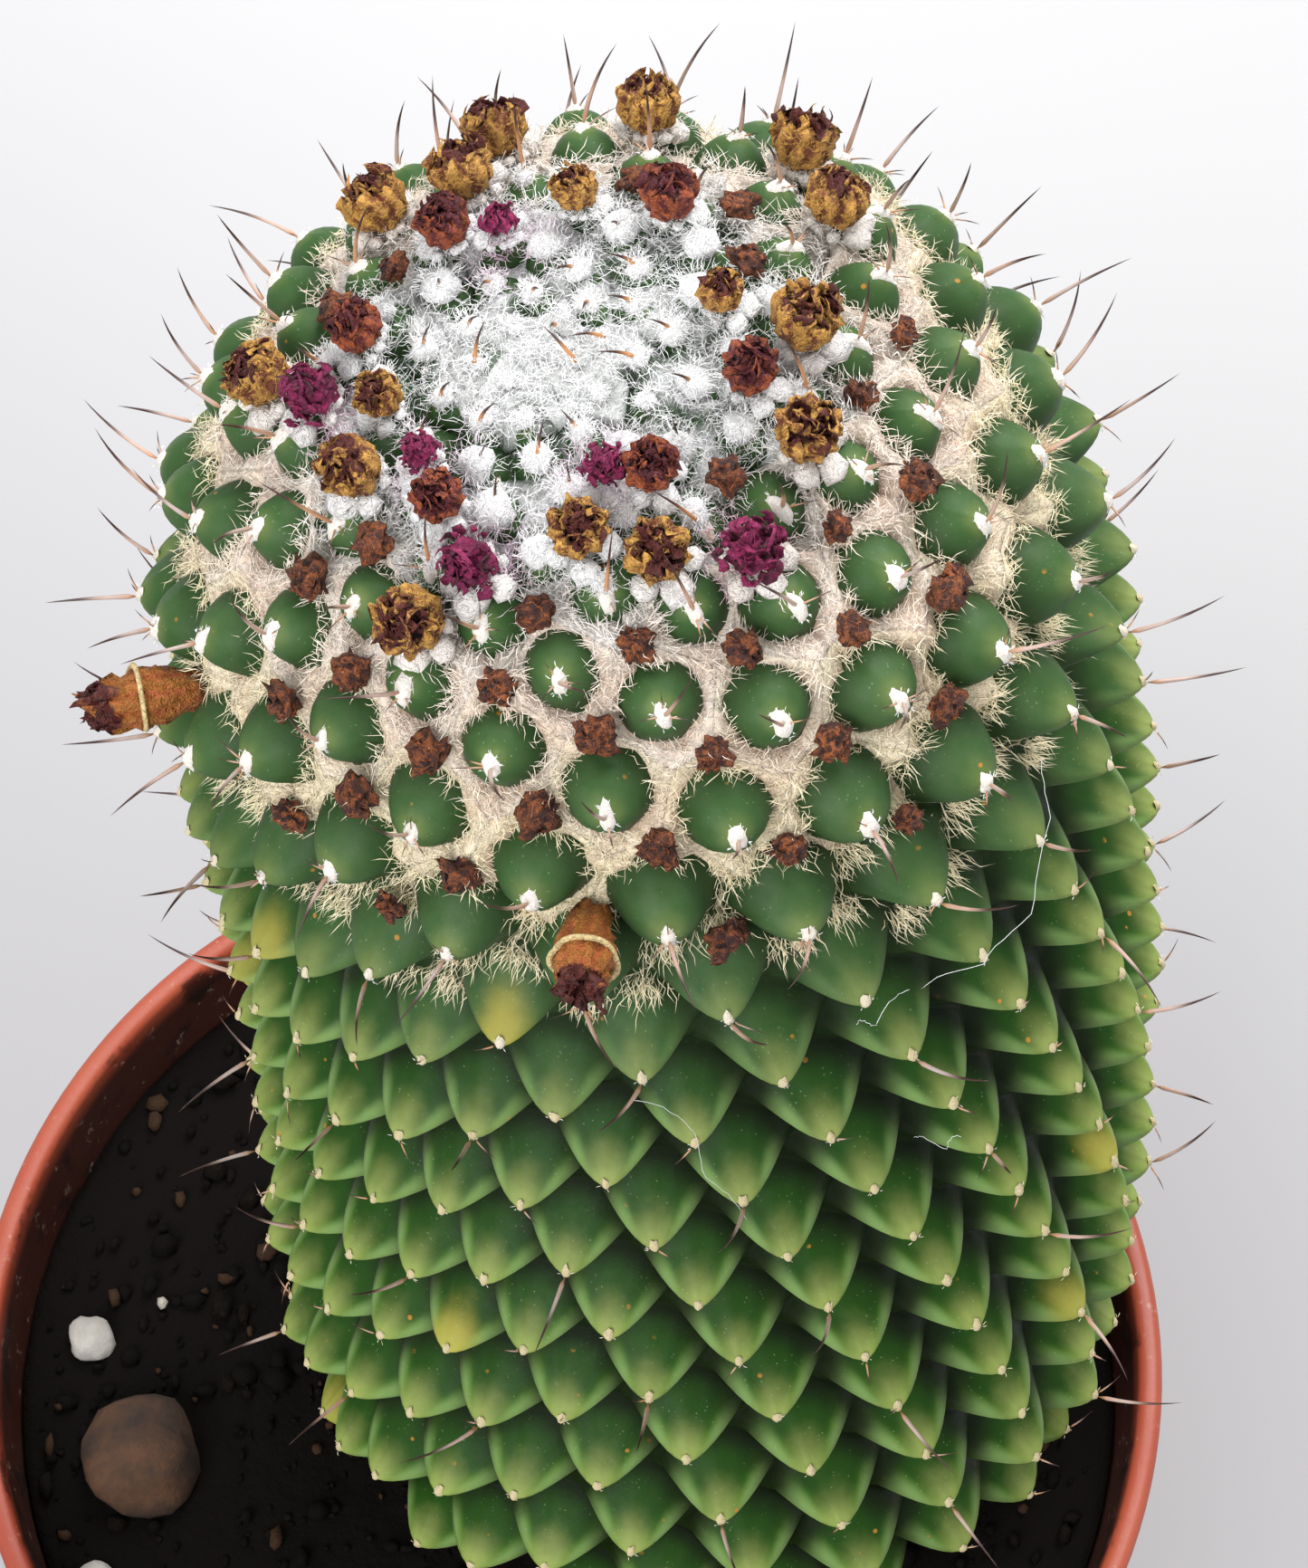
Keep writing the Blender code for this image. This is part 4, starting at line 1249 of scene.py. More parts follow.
def dress_felt(stem):
    """Matted wool in the valleys: a soft band round every woolly tubercle, which hides its foot."""
    cells, _ = stem_cells()
    heap = Heap("age", "bare", "edge")
    for cell in cells.values():
        if cell.arc <= WOOL_END:
            add_felt(heap, cell, stem.edge_points)
    return heap.piece("wool_felt", felt_looks(), "wool", ("wool",))


def add_felt(heap, cell, per_edge):
    """One tubercle's band of felt, wider at the axils than between them."""
    valley, outward, rise = felt_band(cell, per_edge)
    widening = 0.65 * cornering(len(valley), per_edge) - 0.24
    tufted = smooth_step(*WIDENING_ARC, cell.arc) * widening
    cover = (np.interp(cell.arc, *FELT_COVER) * (1 + tufted))[:, None]
    thin = 1 - 0.6 * bareness(valley, cell.arc)
    rings = []
    for share, height in zip(FELT_SHARES, FELT_CROWN):
        drawn = cell.middle + (valley - cell.middle) * (1 - (1 - share) * cover)
        lumps = 0.7 * noise_at(drawn * 260) + 0.4 * noise_at(drawn * 900)
        rings.append(drawn + outward * (rise * height * thin + lumps * FELT_LUMP)[:, None])
    hem = cell.middle + (rings[-1] - cell.middle) * FELT_HEM
    points = np.concatenate([valley + outward * FELT_FOOT, *rings, hem])
    faces = ring_faces(len(rings) + 2, len(valley), closed_end=False)
    bare = 0.25 * smooth_step(0.024, 0.018, cell.arc) + 0.75 * bareness(points, cell.arc)
    # The edge mark steers the painted shadow where the felt meets the knob.
    heap.add(points, faces, age=cell.age, bare=bare, edge=np.repeat(FELT_EDGE_SHADOW, len(valley)))


def dress_crown_wool(wool):
    """Frizzy white hair over the crown, thin enough in places for the green to show."""
    rng = np.random.default_rng(SEED + 3)
    heap = Heap("age", "stained")
    count = wool.crown_hairs
    arc = CROWN_HAIR_ARC * rng.uniform(0, 1, count) ** 0.5
    turn = rng.uniform(0, 2 * np.pi, count)
    bare = bareness(on_stem(arc, turn), arc)
    kept = rng.uniform(0, 1, count) > bare * 0.92
    arc, turn, count = arc[kept], turn[kept], int(kept.sum())
    out, down, side = frames(arc, turn)
    lift = felt_rise(arc) * rng.uniform(0.7, 1.0, count) + rng.uniform(0, CROWN_HAIR_DEPTH, count)
    roots = on_stem(arc, turn, lift)
    spin = rng.uniform(0, 2 * np.pi, (count, 1))
    ways = np.cos(spin) * down + np.sin(spin) * side + out * rng.uniform(-0.1, 0.6, (count, 1))
    lengths = rng.uniform(*CROWN_HAIR_LENGTH, count)
    marks = {"age": age_at(arc), "stained": stain_near(roots)}
    add_hairs(heap, roots, ways, lengths, CROWN_HAIR_CURL, wool.hair_radius, rng, turns=1.2, **marks)
    return heap.piece("wool_crown", fibre_looks(), "wool")


def stain_near(points):
    """How far the magenta of the withered flowers has run into the wool round them."""
    places = np.array([on_stem(*axil_above(number), STAIN_HEIGHT) for number in WITHERED])
    nearest = np.linalg.norm(points[:, None] - places[None], axis=2).min(axis=1)
    return STAIN * smooth_step(*STAIN_REACH, nearest)


def band_spots(stem):
    """Stretches of wool between valley points: ends, cell's middle, outward way, height and arc length."""
    cells, _ = stem_cells()
    rows = []
    for cell in cells.values():
        if AXIL_HAIR_ARC < cell.arc < WOOL_END:
            valley, outward, rise = felt_band(cell, stem.edge_points)
            for i, point in enumerate(valley):
                rows.append((*valley[i - 1], *point, *cell.middle, *outward[i], rise[i], cell.arc))
    rows = np.array(rows)
    return *(rows[:, i : i + 3] for i in (0, 3, 6, 9)), rows[:, 12], rows[:, 13]


def axil_hairs(stem, count, rng):
    """Roots, ways, lengths and arcs of hairs on the valleys' wool, more of them where it is high."""
    spots = band_spots(stem)
    stretch = np.linalg.norm(spots[1] - spots[0], axis=1)
    weight = stretch * (spots[4] / max(FELT_RISE)) ** 1.5
    pick = rng.choice(len(weight), count, p=weight / weight.sum())
    start, end, middle, out, rise, arc = (values[pick] for values in spots)
    base = start + (end - start) * rng.uniform(0, 1, (count, 1))
    inward, along = unit(middle - base), unit(end - start)
    drawn_in = rng.uniform(0, AXIL_HAIR_INWARD, count)
    height = rise * np.interp(1 - drawn_in, FELT_SHARES[::-1], FELT_CROWN[::-1])
    height = height + rng.uniform(*AXIL_HAIR_LIFT, count)
    roots = base + (middle - base) * drawn_in[:, None] + out * height[:, None]
    ways = inward * rng.uniform(-0.4, 1.2, (count, 1)) + along * rng.normal(0, 0.7, (count, 1))
    ways = ways + out * rng.uniform(-0.1, 0.6, (count, 1))
    return roots, ways, rng.uniform(*AXIL_HAIR_LENGTH, count), arc


def dress_axil_wool(wool, stem):
    """Frizzy hair on the wool of the valleys, in two pieces, that lies over the tubercles' flanks."""
    rng = np.random.default_rng(SEED + 4)
    roots, ways, lengths, arc = axil_hairs(stem, wool.axil_hairs, rng)
    paths = curly(roots, ways, lengths, AXIL_HAIR_CURL, rng, steps=4, turns=0.8)
    for name, kept in (("wool_upper", arc < UPPER_WOOL_END), ("wool_lower", arc >= UPPER_WOOL_END)):
        heap = Heap("age", "stained")
        radii = wool.hair_radius * rng.uniform(*AXIL_HAIR_THICKNESS, (int(kept.sum()), 1))
        marks = {"age": age_at(arc[kept]), "stained": stain_near(roots[kept])}
        add_tubes(heap, paths[kept], radii, HAIR_SIDES, rng, **marks)
        piece = heap.piece(name, fibre_looks(), "wool")
    return piece


class Fluff:
    """White tufts: lumpy cores under a thick coat of short hairs."""

    def __init__(self, hair_radius, rng):
        self.cores, self.hairs = Heap("age", "bare", "edge"), Heap("age", "stained")
        self.hair_radius, self.rng = hair_radius, rng

    def tuft(self, centre, out, size, age, count, divisions):
        """One tuft, flattened a little along its outward direction."""
        rng = self.rng
        points, faces = ball(divisions)
        offset = rng.uniform(0, 50, 3)
        lumps = [1 + TUFT_LUMPS * noise.fractal(Vector(p * 1.6 + offset), 0.6, 2.0, 3) for p in points]
        grown = points * np.array(lumps)[:, None]
        flattened = grown - np.outer(grown @ out, out) * TUFT_FLATNESS
        self.cores.add(centre + flattened * size * TUFT_CORE, [faces], age=age)
        way = unit(rng.normal(size=(count, 3)) + out * 0.7)
        roots = centre + way * size * TUFT_ROOTS
        lengths = rng.uniform(*TUFT_HAIR_LENGTH, count) * size + TUFT_HAIR_LEAST
        ways = way + 0.6 * rng.normal(size=(count, 3))
        marks = {"age": age, "stained": stain_near(roots) * 0.5}
        add_hairs(self.hairs, roots, ways, lengths, TUFT_HAIR_CURL, self.hair_radius, rng, **marks)

    def areole_tuft(self, cell, count):
        """The bright tuft on a young areole."""
        size = float(np.interp(cell.arc, TUFT_ARC, TUFT_SIZE)) * self.rng.uniform(*TUFT_VARIETY)
        lift = max(cell.rise, float(felt_rise(cell.arc))) + size * TUFT_LIFT
        centre = cell.middle + cell.out * lift - cell.down * TUFT_SHIFT
        self.tuft(centre, cell.out, size, 0.0, count, divisions=2)

    def collar(self, arc, turn, count):
        """A ring of knots round a dried flower, larger and further out below it."""
        out, down, side = frames(arc, turn)
        grown = growth(arc)
        for knot in range(COLLAR_KNOTS):
            around = 2 * np.pi * (knot + self.rng.uniform(-0.2, 0.2)) / COLLAR_KNOTS
            away = np.cos(around) * down + np.sin(around) * side
            outward = COLLAR_REACH[0] + COLLAR_REACH[1] * np.cos(around)
            centre = on_stem(arc, turn, TUFT_RISE - COLLAR_SUNK) + away * BUD_RADIUS * grown * outward
            share = max(COLLAR_LEAST, COLLAR_SWELL + COLLAR_SWELL * np.cos(around))
            size = COLLAR_SIZE * grown * share * self.rng.uniform(*COLLAR_VARIETY)
            self.tuft(centre, out, size, min(age_at(arc), COLLAR_AGE), count, divisions=1)


def dress_tufts(wool):
    """Bright tufts on the young areoles, and a collar of fluff round every dried flower."""
    fluff = Fluff(wool.hair_radius, np.random.default_rng(SEED + 5))
    for cell in stem_cells()[0].values():
        if TUFT_ARC[0] < cell.arc < TUFT_ARC[-1]:
            fluff.areole_tuft(cell, wool.tuft_hairs)
    for number in BUDS + WITHERED:
        fluff.collar(*axil_above(number), wool.collar_hairs)
    fluff.cores.piece("wool_tuft_cores", felt_looks(), "wool")
    return fluff.hairs.piece("wool_tufts", fibre_looks(), "wool")


def dress_old_tufts(wool):
    """Cream wisps left in the axils just below the woolly head."""
    _, axils = stem_cells()
    rng = np.random.default_rng(SEED + 10)
    heap = Heap("age", "stained")
    for arc, turn in axils:
        if OLD_TUFT_ARC[0] < arc < OLD_TUFT_ARC[1]:
            out, down, side = frames(arc, turn)
            count = int(wool.old_hairs * np.interp(arc, OLD_TUFT_ARC, (1.0, 0.6)))
            spread = rng.normal(size=(count, 2)) * OLD_TUFT_SPREAD
            roots = on_stem(arc, turn, OLD_TUFT_LIFT) + spread[:, :1] * side + spread[:, 1:] * down
            ways = out + down * 0.20 + 0.38 * rng.normal(size=(count, 3))
            lengths = OLD_TUFT_LENGTH * rng.uniform(0.45, 1.0, count)
            radius = wool.hair_radius * OLD_TUFT_THICKNESS
            add_hairs(heap, roots, ways, lengths, OLD_TUFT_CURL, radius, rng, age=OLD_AGE)
    return heap.piece("wool_old_tufts", fibre_looks(), "wool")


def dress_silk(wool):
    """Fine threads of silk caught between the tips on the right side of the stem."""
    rng = np.random.default_rng(SEED + 11)
    heap = Heap("age", "stained")
    t = np.linspace(0, 1, SILK_STEPS)
    for route in SILK:
        bends = np.linspace(0, 1, len(route))
        arc, turn = (np.interp(t, bends, values) for values in np.array(route).T)
        line = on_stem(arc, np.radians(turn), SILK_RISE)
        for _ in range(2):
            line[1:-1] = (line[:-2] + 2 * line[1:-1] + line[2:]) / 4
        sag = SILK_SAG * np.abs(np.sin(np.pi * t * (len(route) - 1)))
        path = line - off_stem(arc, np.radians(turn)) * sag[:, None]
        path = path + SILK_KINK * rng.normal(size=line.shape)
        add_tubes(heap, path[None], wool.hair_radius * SILK_THICKNESS, HAIR_SIDES, rng)
    return heap.piece("silk_threads", fibre_looks(), "wool")


# Dried flowers


def growth(arc):
    """The share of full size that a dried flower has reached."""
    return float(np.interp(arc, BUD_GROWTH_ARC, BUD_GROWTH))


def wool_rise(arc):
    """How high the wool of the solids stands, which the lower dried pieces sit on."""
    return float(np.interp(arc, WOOL_ARC, WOOL_RISE))


class Perch:
    """Where a dried piece stands in an axil: its foot and its axes, leaning a little out of true."""

    def __init__(self, number, lift, rng, lean=0.16):
        self.arc, self.turn = axil_above(number)
        self.foot = on_stem(self.arc, self.turn, lift)
        out, down, side = frames(self.arc, self.turn)
        self.up = unit(out + lean * (rng.uniform(-1, 1) * side + rng.uniform(-0.6, 1) * down))
        spin = rng.uniform(0, 2 * np.pi)
        self.x = unit(np.cross(self.up, np.cos(spin) * side + np.sin(spin) * down))
        self.y = np.cross(self.up, self.x)

    def place(self, points):
        """Points given from the foot, moved to where the piece stands."""
        points = np.asarray(points)
        return self.foot + points[..., :1] * self.x + points[..., 1:2] * self.y + points[..., 2:] * self.up


def dried_body(heap, perch, outline, ribs, depth, twist, size, rng, torn_from):
    """A ribbed body turned from an outline, its ribs wound round and crumpled towards its torn top."""
    around = ribs * 4
    level, steps = np.linspace(0, 1, len(outline)), np.linspace(0, 1, BODY_RINGS)
    radius, height = (np.interp(steps, level, [p[i] for p in outline])[:, None] for i in (0, 1))
    turn = circle(around)
    crest = np.cos(turn * ribs / 2) ** 2
    wound = turn + twist * steps[:, None] ** 2
    flesh = radius * (1 + depth * (crest - 0.5) * (0.4 + 1.2 * steps[:, None]))
    points = np.stack([flesh * np.cos(wound), flesh * np.sin(wound), height + 0 * turn], -1).reshape(-1, 3)
    torn = np.repeat(smooth_step(torn_from, 1.0, steps), around)
    offset = rng.uniform(0, 60, 3)
    crumple = noise_vectors(points * 2.4 + offset) + 0.9 * noise_vectors(points * 7.0 + offset)
    moved = points + (CRUMPLED[0] + CRUMPLED[1] * torn)[:, None] * crumple
    ends = [(0, 0, height[-1, 0] - 0.25), (0, 0, height[0, 0])]
    faces = [*ring_faces(len(steps), around), end_fan(len(points) + 1, around)]
    # The fold mark steers painted highlight on the rib crests and painted shade in the grooves.
    marks = {"torn": np.append(torn, (1, 0)), "fold": np.append(np.tile(crest, len(steps)), (0, 0))}
    heap.add(perch.place(np.concatenate([moved, ends]) * size), faces, **marks)


def ragged_petals(heap, perch, count, foot, spread, length, width, rng, torn, curl=0.5):
    """Shrivelled petals: flattened, twisted strips that rise from a ring, foot as (radius, height)."""
    turn = 2 * np.pi * (np.arange(count) + rng.uniform(-0.4, 0.4, count)) / count
    away = np.stack([np.cos(turn), np.sin(turn), np.zeros(count)], -1)
    start = away * foot[0] * rng.uniform(0.55, 1.1, (count, 1)) + np.array((0, 0, foot[1]))
    way = away * spread + np.array((0, 0, 1.0)) + 0.35 * rng.normal(size=(count, 3))
    lengths = length * rng.uniform(0.6, 1.3, count)
    steps = len(PETAL_WIDTHS)
    paths = curly(start, way, lengths, length * 0.16 * curl, rng, steps=steps, turns=1.0)
    drawn_in = (lengths[:, None] * np.linspace(0, 1, steps) ** 2)[..., None]
    paths = paths - away[:, None] * drawn_in * curl * 0.6
    widths = width * rng.uniform(0.6, 1.3, (count, 1)) * np.array(PETAL_WIDTHS)
    shades = np.clip(torn + 0.35 * rng.normal(size=count), 0, 1)
    folds = rng.uniform(0, 1, count)
    add_tubes(heap, perch.place(paths), widths, 6, rng, flat=0.22, torn=shades, fold=folds)


def dress_buds(flowers):
    """The ring of dried flowers: ribbed cups, gold or russet, with dark shrivelled petals in them."""
    rng = np.random.default_rng(SEED + 6)
    kinds = {
        "golden_buds": (flowers.bark, flowers.gold, flowers.burnt, GOLD_TORN),
        "russet_buds": (flowers.wine, flowers.russet, flowers.wine, RED_TORN),
    }
    for name, (groove_colour_and_shade, crest, burnt, torn) in kinds.items():
        heap, nodes = Heap("torn", "fold"), []
        for place, number in enumerate(BUDS):
            if (number in RED_BUDS) == (name == "russet_buds"):
                nodes.append(f"dried_bud_{place + 1:02d}")
                add_bud(heap, number, torn, rng)
        looks = dried_looks(name.replace("_", " "), groove_colour_and_shade, crest, burnt, lit_range=(0.05, 0.62))
        piece = heap.piece(name, looks, "dried_bud", nodes)
    return piece


def add_bud(heap, number, torn, rng):
    """One dried flower: a ribbed cup with two rings of petals in its mouth."""
    perch = Perch(number, TUFT_RISE + GAP, rng)
    size = BUD_RADIUS * growth(perch.arc) * rng.uniform(*BUD_VARIETY)
    ribs, twist = int(rng.integers(*BUD_RIBS)), rng.uniform(-BUD_TWIST, BUD_TWIST)
    dried_body(heap, perch, BUD_CUP + BUD_MOUTH, ribs, BUD_RIB_DEPTH, twist, size, rng, rng.uniform(*torn))
    outer, inner = (size * 0.85, size * 1.00), (size * 0.50, size * 1.05)
    ragged_petals(heap, perch, BUD_PETALS, outer, 0.3, size * 0.75, size * 0.20, rng, 0.45, 1.0)
    ragged_petals(heap, perch, BUD_PETALS, inner, 0.1, size * 0.62, size * 0.18, rng, 1.0, 0.9)


def dress_withered(flowers):
    """Six crumpled magenta flowers."""
    rng = np.random.default_rng(SEED + 7)
    heap = Heap("torn", "fold")
    for number in WITHERED:
        perch = Perch(number, TUFT_RISE + GAP, rng, 0.3)
        size = BUD_RADIUS * growth(perch.arc) * rng.uniform(0.95, 1.1)
        lump(heap, perch, size * 0.8, size * 0.55, rng, 0.7)
        for rings in range(3):
            foot = (size * (0.9 - 0.25 * rings), size * (0.2 + 0.3 * rings))
            spread, length, width = 0.9 - 0.3 * rings, size * 0.85, size * 0.17
            ragged_petals(heap, perch, WITHERED_PETALS, foot, spread, length, width, rng, 0.2, 1.0)
    looks = dried_looks("withered magenta petals", flowers.dark_petal, flowers.magenta, flowers.petal_tips)
    nodes = [f"withered_flower_{i + 1:02d}" for i in range(len(WITHERED))]
    return heap.piece("withered_flowers", looks, "withered_flower", nodes)


def lump(heap, perch, radius, height, rng, torn):
    """A crumpled knot of dried tissue, with painted highlight on its crests and painted shade in its creases.
    """
    points, faces = ball(3)
    offset = Vector(rng.uniform(0, 50, 3))
    broad = noise_at(points * 1.5, offset)
    creases = np.abs(noise_at(points * 3.4, -offset))
    fine = noise_vectors(points * 6.5, offset)
    grown = points * (0.85 + 0.55 * broad + 0.75 * (creases - 0.15))[:, None] + fine * 0.16
    grown = grown * (radius, radius, height) + (0, 0, height * 0.8)
    heap.add(perch.place(grown), [faces], torn=torn * 0.5, fold=np.clip(creases * 3.2, 0, 1))


def dress_remains(flowers):
    """Small dark wads left of older flowers, pressed into the wool."""
    rng = np.random.default_rng(SEED + 8)
    heap, scraps = Heap("torn", "fold"), Heap("torn", "fold")
    for numbers, gathered, share in ((REMAINS, heap, 1.0), (SCRAPS, scraps, SCRAP_SIZE)):
        for number in numbers:
            perch = Perch(number, wool_rise(axil_above(number)[0]) + GAP / 2, rng, 0.3)
            size = BUD_RADIUS * REMAINS_SIZE * share * rng.uniform(0.85, 1.12)
            lump(gathered, perch, size * 0.9, size * 0.55, rng, 0.6)
            foot = (size * 0.6, size * 0.5)
            length, width = size * 0.5, size * 0.17
            ragged_petals(gathered, perch, REMAINS_PETALS, foot, 0.25, length, width, rng, 0.5, 1.0)
    colours = flowers.remains, flowers.rust, flowers.charred
    looks = dried_looks("flower remains", *colours, lit_range=(0.18, 0.80))
    nodes = [f"flower_remains_{i + 1:02d}" for i in range(len(REMAINS))]
    heap.piece("flower_remains", looks, "flower_remains", nodes)
    return scraps.piece("flower_scraps", looks, "flower_remains")


def add_hoop(heap, perch, radius, height, rng, around=36, sides=6):
    """A thin uneven ring round a fruit."""
    turn, swing = circle(around), circle(sides)
    uneven = 1 + 0.05 * np.sin(turn * 3 + rng.uniform(0, 6)) + 0.03 * np.sin(turn * 5 + rng.uniform(0, 6))
    reach = radius * uneven[:, None] + HOOP_RADIUS * np.cos(swing)
    rise = height + HOOP_WAVE * np.sin(turn * 2)[:, None] + HOOP_RADIUS * np.sin(swing) * 0.8
    points = np.stack([reach * np.cos(turn)[:, None], reach * np.sin(turn)[:, None], rise], -1)
    i, j = np.divmod(np.arange(around * sides), sides)
    ahead, beside = (i + 1) % around * sides, (j + 1) % sides
    faces = np.stack([i * sides + j, ahead + j, ahead + beside, i * sides + beside], 1)
    heap.add(perch.place(points.reshape(-1, 3)), [faces], torn=0.0, fold=1.0)


def dress_fruits(flowers):
    """Two dried fruits: a barrel that stands in the wool, a pale ring round it and a shrivelled flower."""
    rng = np.random.default_rng(SEED + 9)
    heap, hoops = Heap("torn", "fold"), Heap("torn", "fold")
    outline = [(r / BUD_RADIUS, h * FRUIT_LENGTH / BUD_RADIUS) for r, h in FRUIT_BARREL + FRUIT_NECK]
    mouth = (FRUIT_MOUTH[0], FRUIT_LENGTH * FRUIT_MOUTH[1])
    petal = FRUIT_LENGTH * (1 - FRUIT_MOUTH[1])
    for number in FRUITS:
        perch = Perch(number, wool_rise(axil_above(number)[0]) + GAP, rng, 0.05)
        shape = FRUIT_RIBS, FRUIT_RIB_DEPTH, FRUIT_TWIST, BUD_RADIUS
        dried_body(heap, perch, outline, *shape, rng, FRUIT_TORN)
        ragged_petals(heap, perch, FRUIT_PETALS, mouth, 0.0, petal, FRUIT_PETAL_WIDTH, rng, 0.9, 0.5)
        add_hoop(hoops, perch, FRUIT_RING[0], FRUIT_LENGTH * FRUIT_RING[1], rng)
    colours = flowers.ring_shade, flowers.ring, flowers.ring_shade
    hoops.piece("fruit_rings", dried_looks("fruit rings", *colours, lit_range=(-0.4, 0.2)), "dried_fruit")
    colours = flowers.russet, flowers.amber, flowers.burnt
    looks = dried_looks("dried fruit", *colours, roughness=0.45, lit_range=(-0.10, 0.55))
    nodes = [f"dried_fruit_{i + 1:02d}" for i in range(len(FRUITS))]
    return heap.piece("dried_fruits", looks, "dried_fruit", nodes)


# Pot, soil and stones


def arc_points(centre, radius, start, end, count=5):
    """Points of a rounded corner as (radius, height), between two angles in degrees."""
    angles = np.radians(np.linspace(start, end, count))
    return [(centre[0] + radius * math.cos(t), centre[1] + radius * math.sin(t)) for t in angles]


def pot_outline():
    """The pot's section, up the outside, over the rolled rim and down the inside, with every corner eased."""
    body_top = POT_HEIGHT - COLLAR_HEIGHT
    slope = (RIM_RADIUS - COLLAR_STEP - FOOT_RADIUS) / POT_HEIGHT
    collar = FOOT_RADIUS + slope * body_top
    inner_rim = RIM_RADIUS - COLLAR_STEP - WALL + LIP_STEP
    flare = (collar + COLLAR_STEP - COLLAR_EASE, body_top + COLLAR_FLARE)
    return [
        (0, 0),
        (FOOT_RADIUS - FOOT_RECESS, 0),
        *arc_points((FOOT_RADIUS - FOOT_EDGE, FOOT_EDGE), FOOT_EDGE, 270, 355),
        (collar - COLLAR_EASE, body_top - COLLAR_EASE),
        *arc_points(flare, COLLAR_EASE, 300, 360, 4),
        (RIM_RADIUS - RIM_TAPER, POT_HEIGHT - RIM_BAND),
        *arc_points((RIM_RADIUS - RIM_EDGE, POT_HEIGHT - RIM_EDGE), RIM_EDGE, 10, 90),
        *arc_points((inner_rim + LIP_EDGE, POT_HEIGHT - LIP_EDGE), LIP_EDGE, 90, 180),
        (collar - WALL, body_top),
        (FOOT_RADIUS - WALL, FLOOR + FLOOR_EDGE),
        (FOOT_RADIUS - WALL - FLOOR_EDGE, FLOOR),
        (0, FLOOR),
    ]


def inner_radius(height):
    """The pot's inside radius at a height above its foot."""
    inside = sorted((z, r) for r, z in pot_outline()[-5:-2])
    return float(np.interp(height, [z for z, _ in inside], [r for _, r in inside]))


def dress_pot(pot):
    """The pot turned finely from its section, with its drain holes cut."""
    outline = pot_outline()[::-1]
    mesh = bpy.data.meshes.new("pot_shell")
    edges = [(i, i + 1) for i in range(len(outline) - 1)]
    mesh.from_pydata([(r, 0, z) for r, z in outline], edges, [])
    shell = linked("pot_shell", mesh)
    turned = shell.modifiers.new("turn", "SCREW")
    turned.steps = turned.render_steps = pot.sides
    turned.use_merge_vertices = True
    turned.merge_threshold = WELD
    drains = drain_cutter()
    cut = shell.modifiers.new("drains", "BOOLEAN")
    cut.operation, cut.object = "DIFFERENCE", drains
    graph = bpy.context.evaluated_depsgraph_get()
    shell.data = bpy.data.meshes.new_from_object(shell.evaluated_get(graph))
    shell.modifiers.clear()
    bpy.data.objects.remove(drains)
    shell.data.name = "pot_shell"
    shell.data.shade_smooth()
    shell.data.set_sharp_from_angle(angle=SHARP_ANGLE)
    mark_inside(shell.data)
    return settle(shell, plastic_looks(), ("pot",))


def mark_inside(mesh):
    """Marks the pot's inner side with 1 and its outer side with 0."""
    inside = []
    for vertex in mesh.vertices:
        x, y, z = vertex.co
        inside.append(float(z > FLOOR and math.hypot(x, y) < inner_radius(z) + INSIDE_MARGIN))
    mesh.attributes.new("inside", "FLOAT", "POINT").data.foreach_set("value", inside)


def drain_cutter():
    """The five drain holes as one cutter."""
    bm = bmesh.new()
    size = {"radius1": DRAIN_RADIUS, "radius2": DRAIN_RADIUS, "depth": 4 * FLOOR}
    for i in range(DRAIN_COUNT):
        turn = 2 * math.pi * i / DRAIN_COUNT
        place = Matrix.Translation((DRAIN_CIRCLE * math.cos(turn), DRAIN_CIRCLE * math.sin(turn), 0))
        bmesh.ops.create_cone(bm, cap_ends=True, segments=DRAIN_SIDES, matrix=place, **size)
    mesh = bpy.data.meshes.new("drains")
    bm.to_mesh(mesh)
    bm.free()
    return linked("drains", mesh)


def soil_height(x, y):
    """The crumbly top of the soil."""
    place = Vector((x, y, 0))
    swell = noise.noise(place * SWELL_SCALE) * SWELL
    crumble = noise.fractal(place * CRUMBLE_SCALE, 0.7, 2.0, 3) * CRUMBLE
    return SOIL_LEVEL + swell + crumble


def dress_soil(pot):
    """The soil that fills the pot, crumbly on top, and loose crumbs of bark and grit on it."""
    rng = np.random.default_rng(SEED + 10)
    turn = circle(SOIL_SIDES)
    edge = inner_radius(SOIL_LEVEL) - GAP
    floor = FLOOR + GAP
    rings = []
    for height in (floor, POT_HEIGHT - COLLAR_HEIGHT):
        radius = inner_radius(height) - SOIL_INSET
        x, y = radius * np.cos(turn), radius * np.sin(turn)
        rings.append(np.stack([x, y, np.full(SOIL_SIDES, height)], -1))
    for radius in edge * np.linspace(1, 0.02, SOIL_RINGS) ** 0.8:
        x, y = radius * np.cos(turn), radius * np.sin(turn)
        rings.append(np.stack([x, y, [soil_height(*p) for p in zip(x, y)]], -1))
    heap = Heap("tone")
    points = np.concatenate([*rings, [[0, 0, soil_height(0, 0)]], [[0, 0, floor]]])
    faces = [*ring_faces(len(rings), SOIL_SIDES), end_fan(len(points) - 1, SOIL_SIDES)]
    heap.add(points, faces, tone=0.25)
    add_crumbs(heap, pot.crumbs, edge, rng)
    return heap.piece("potting_soil", soil_looks(), "soil", ("soil",))


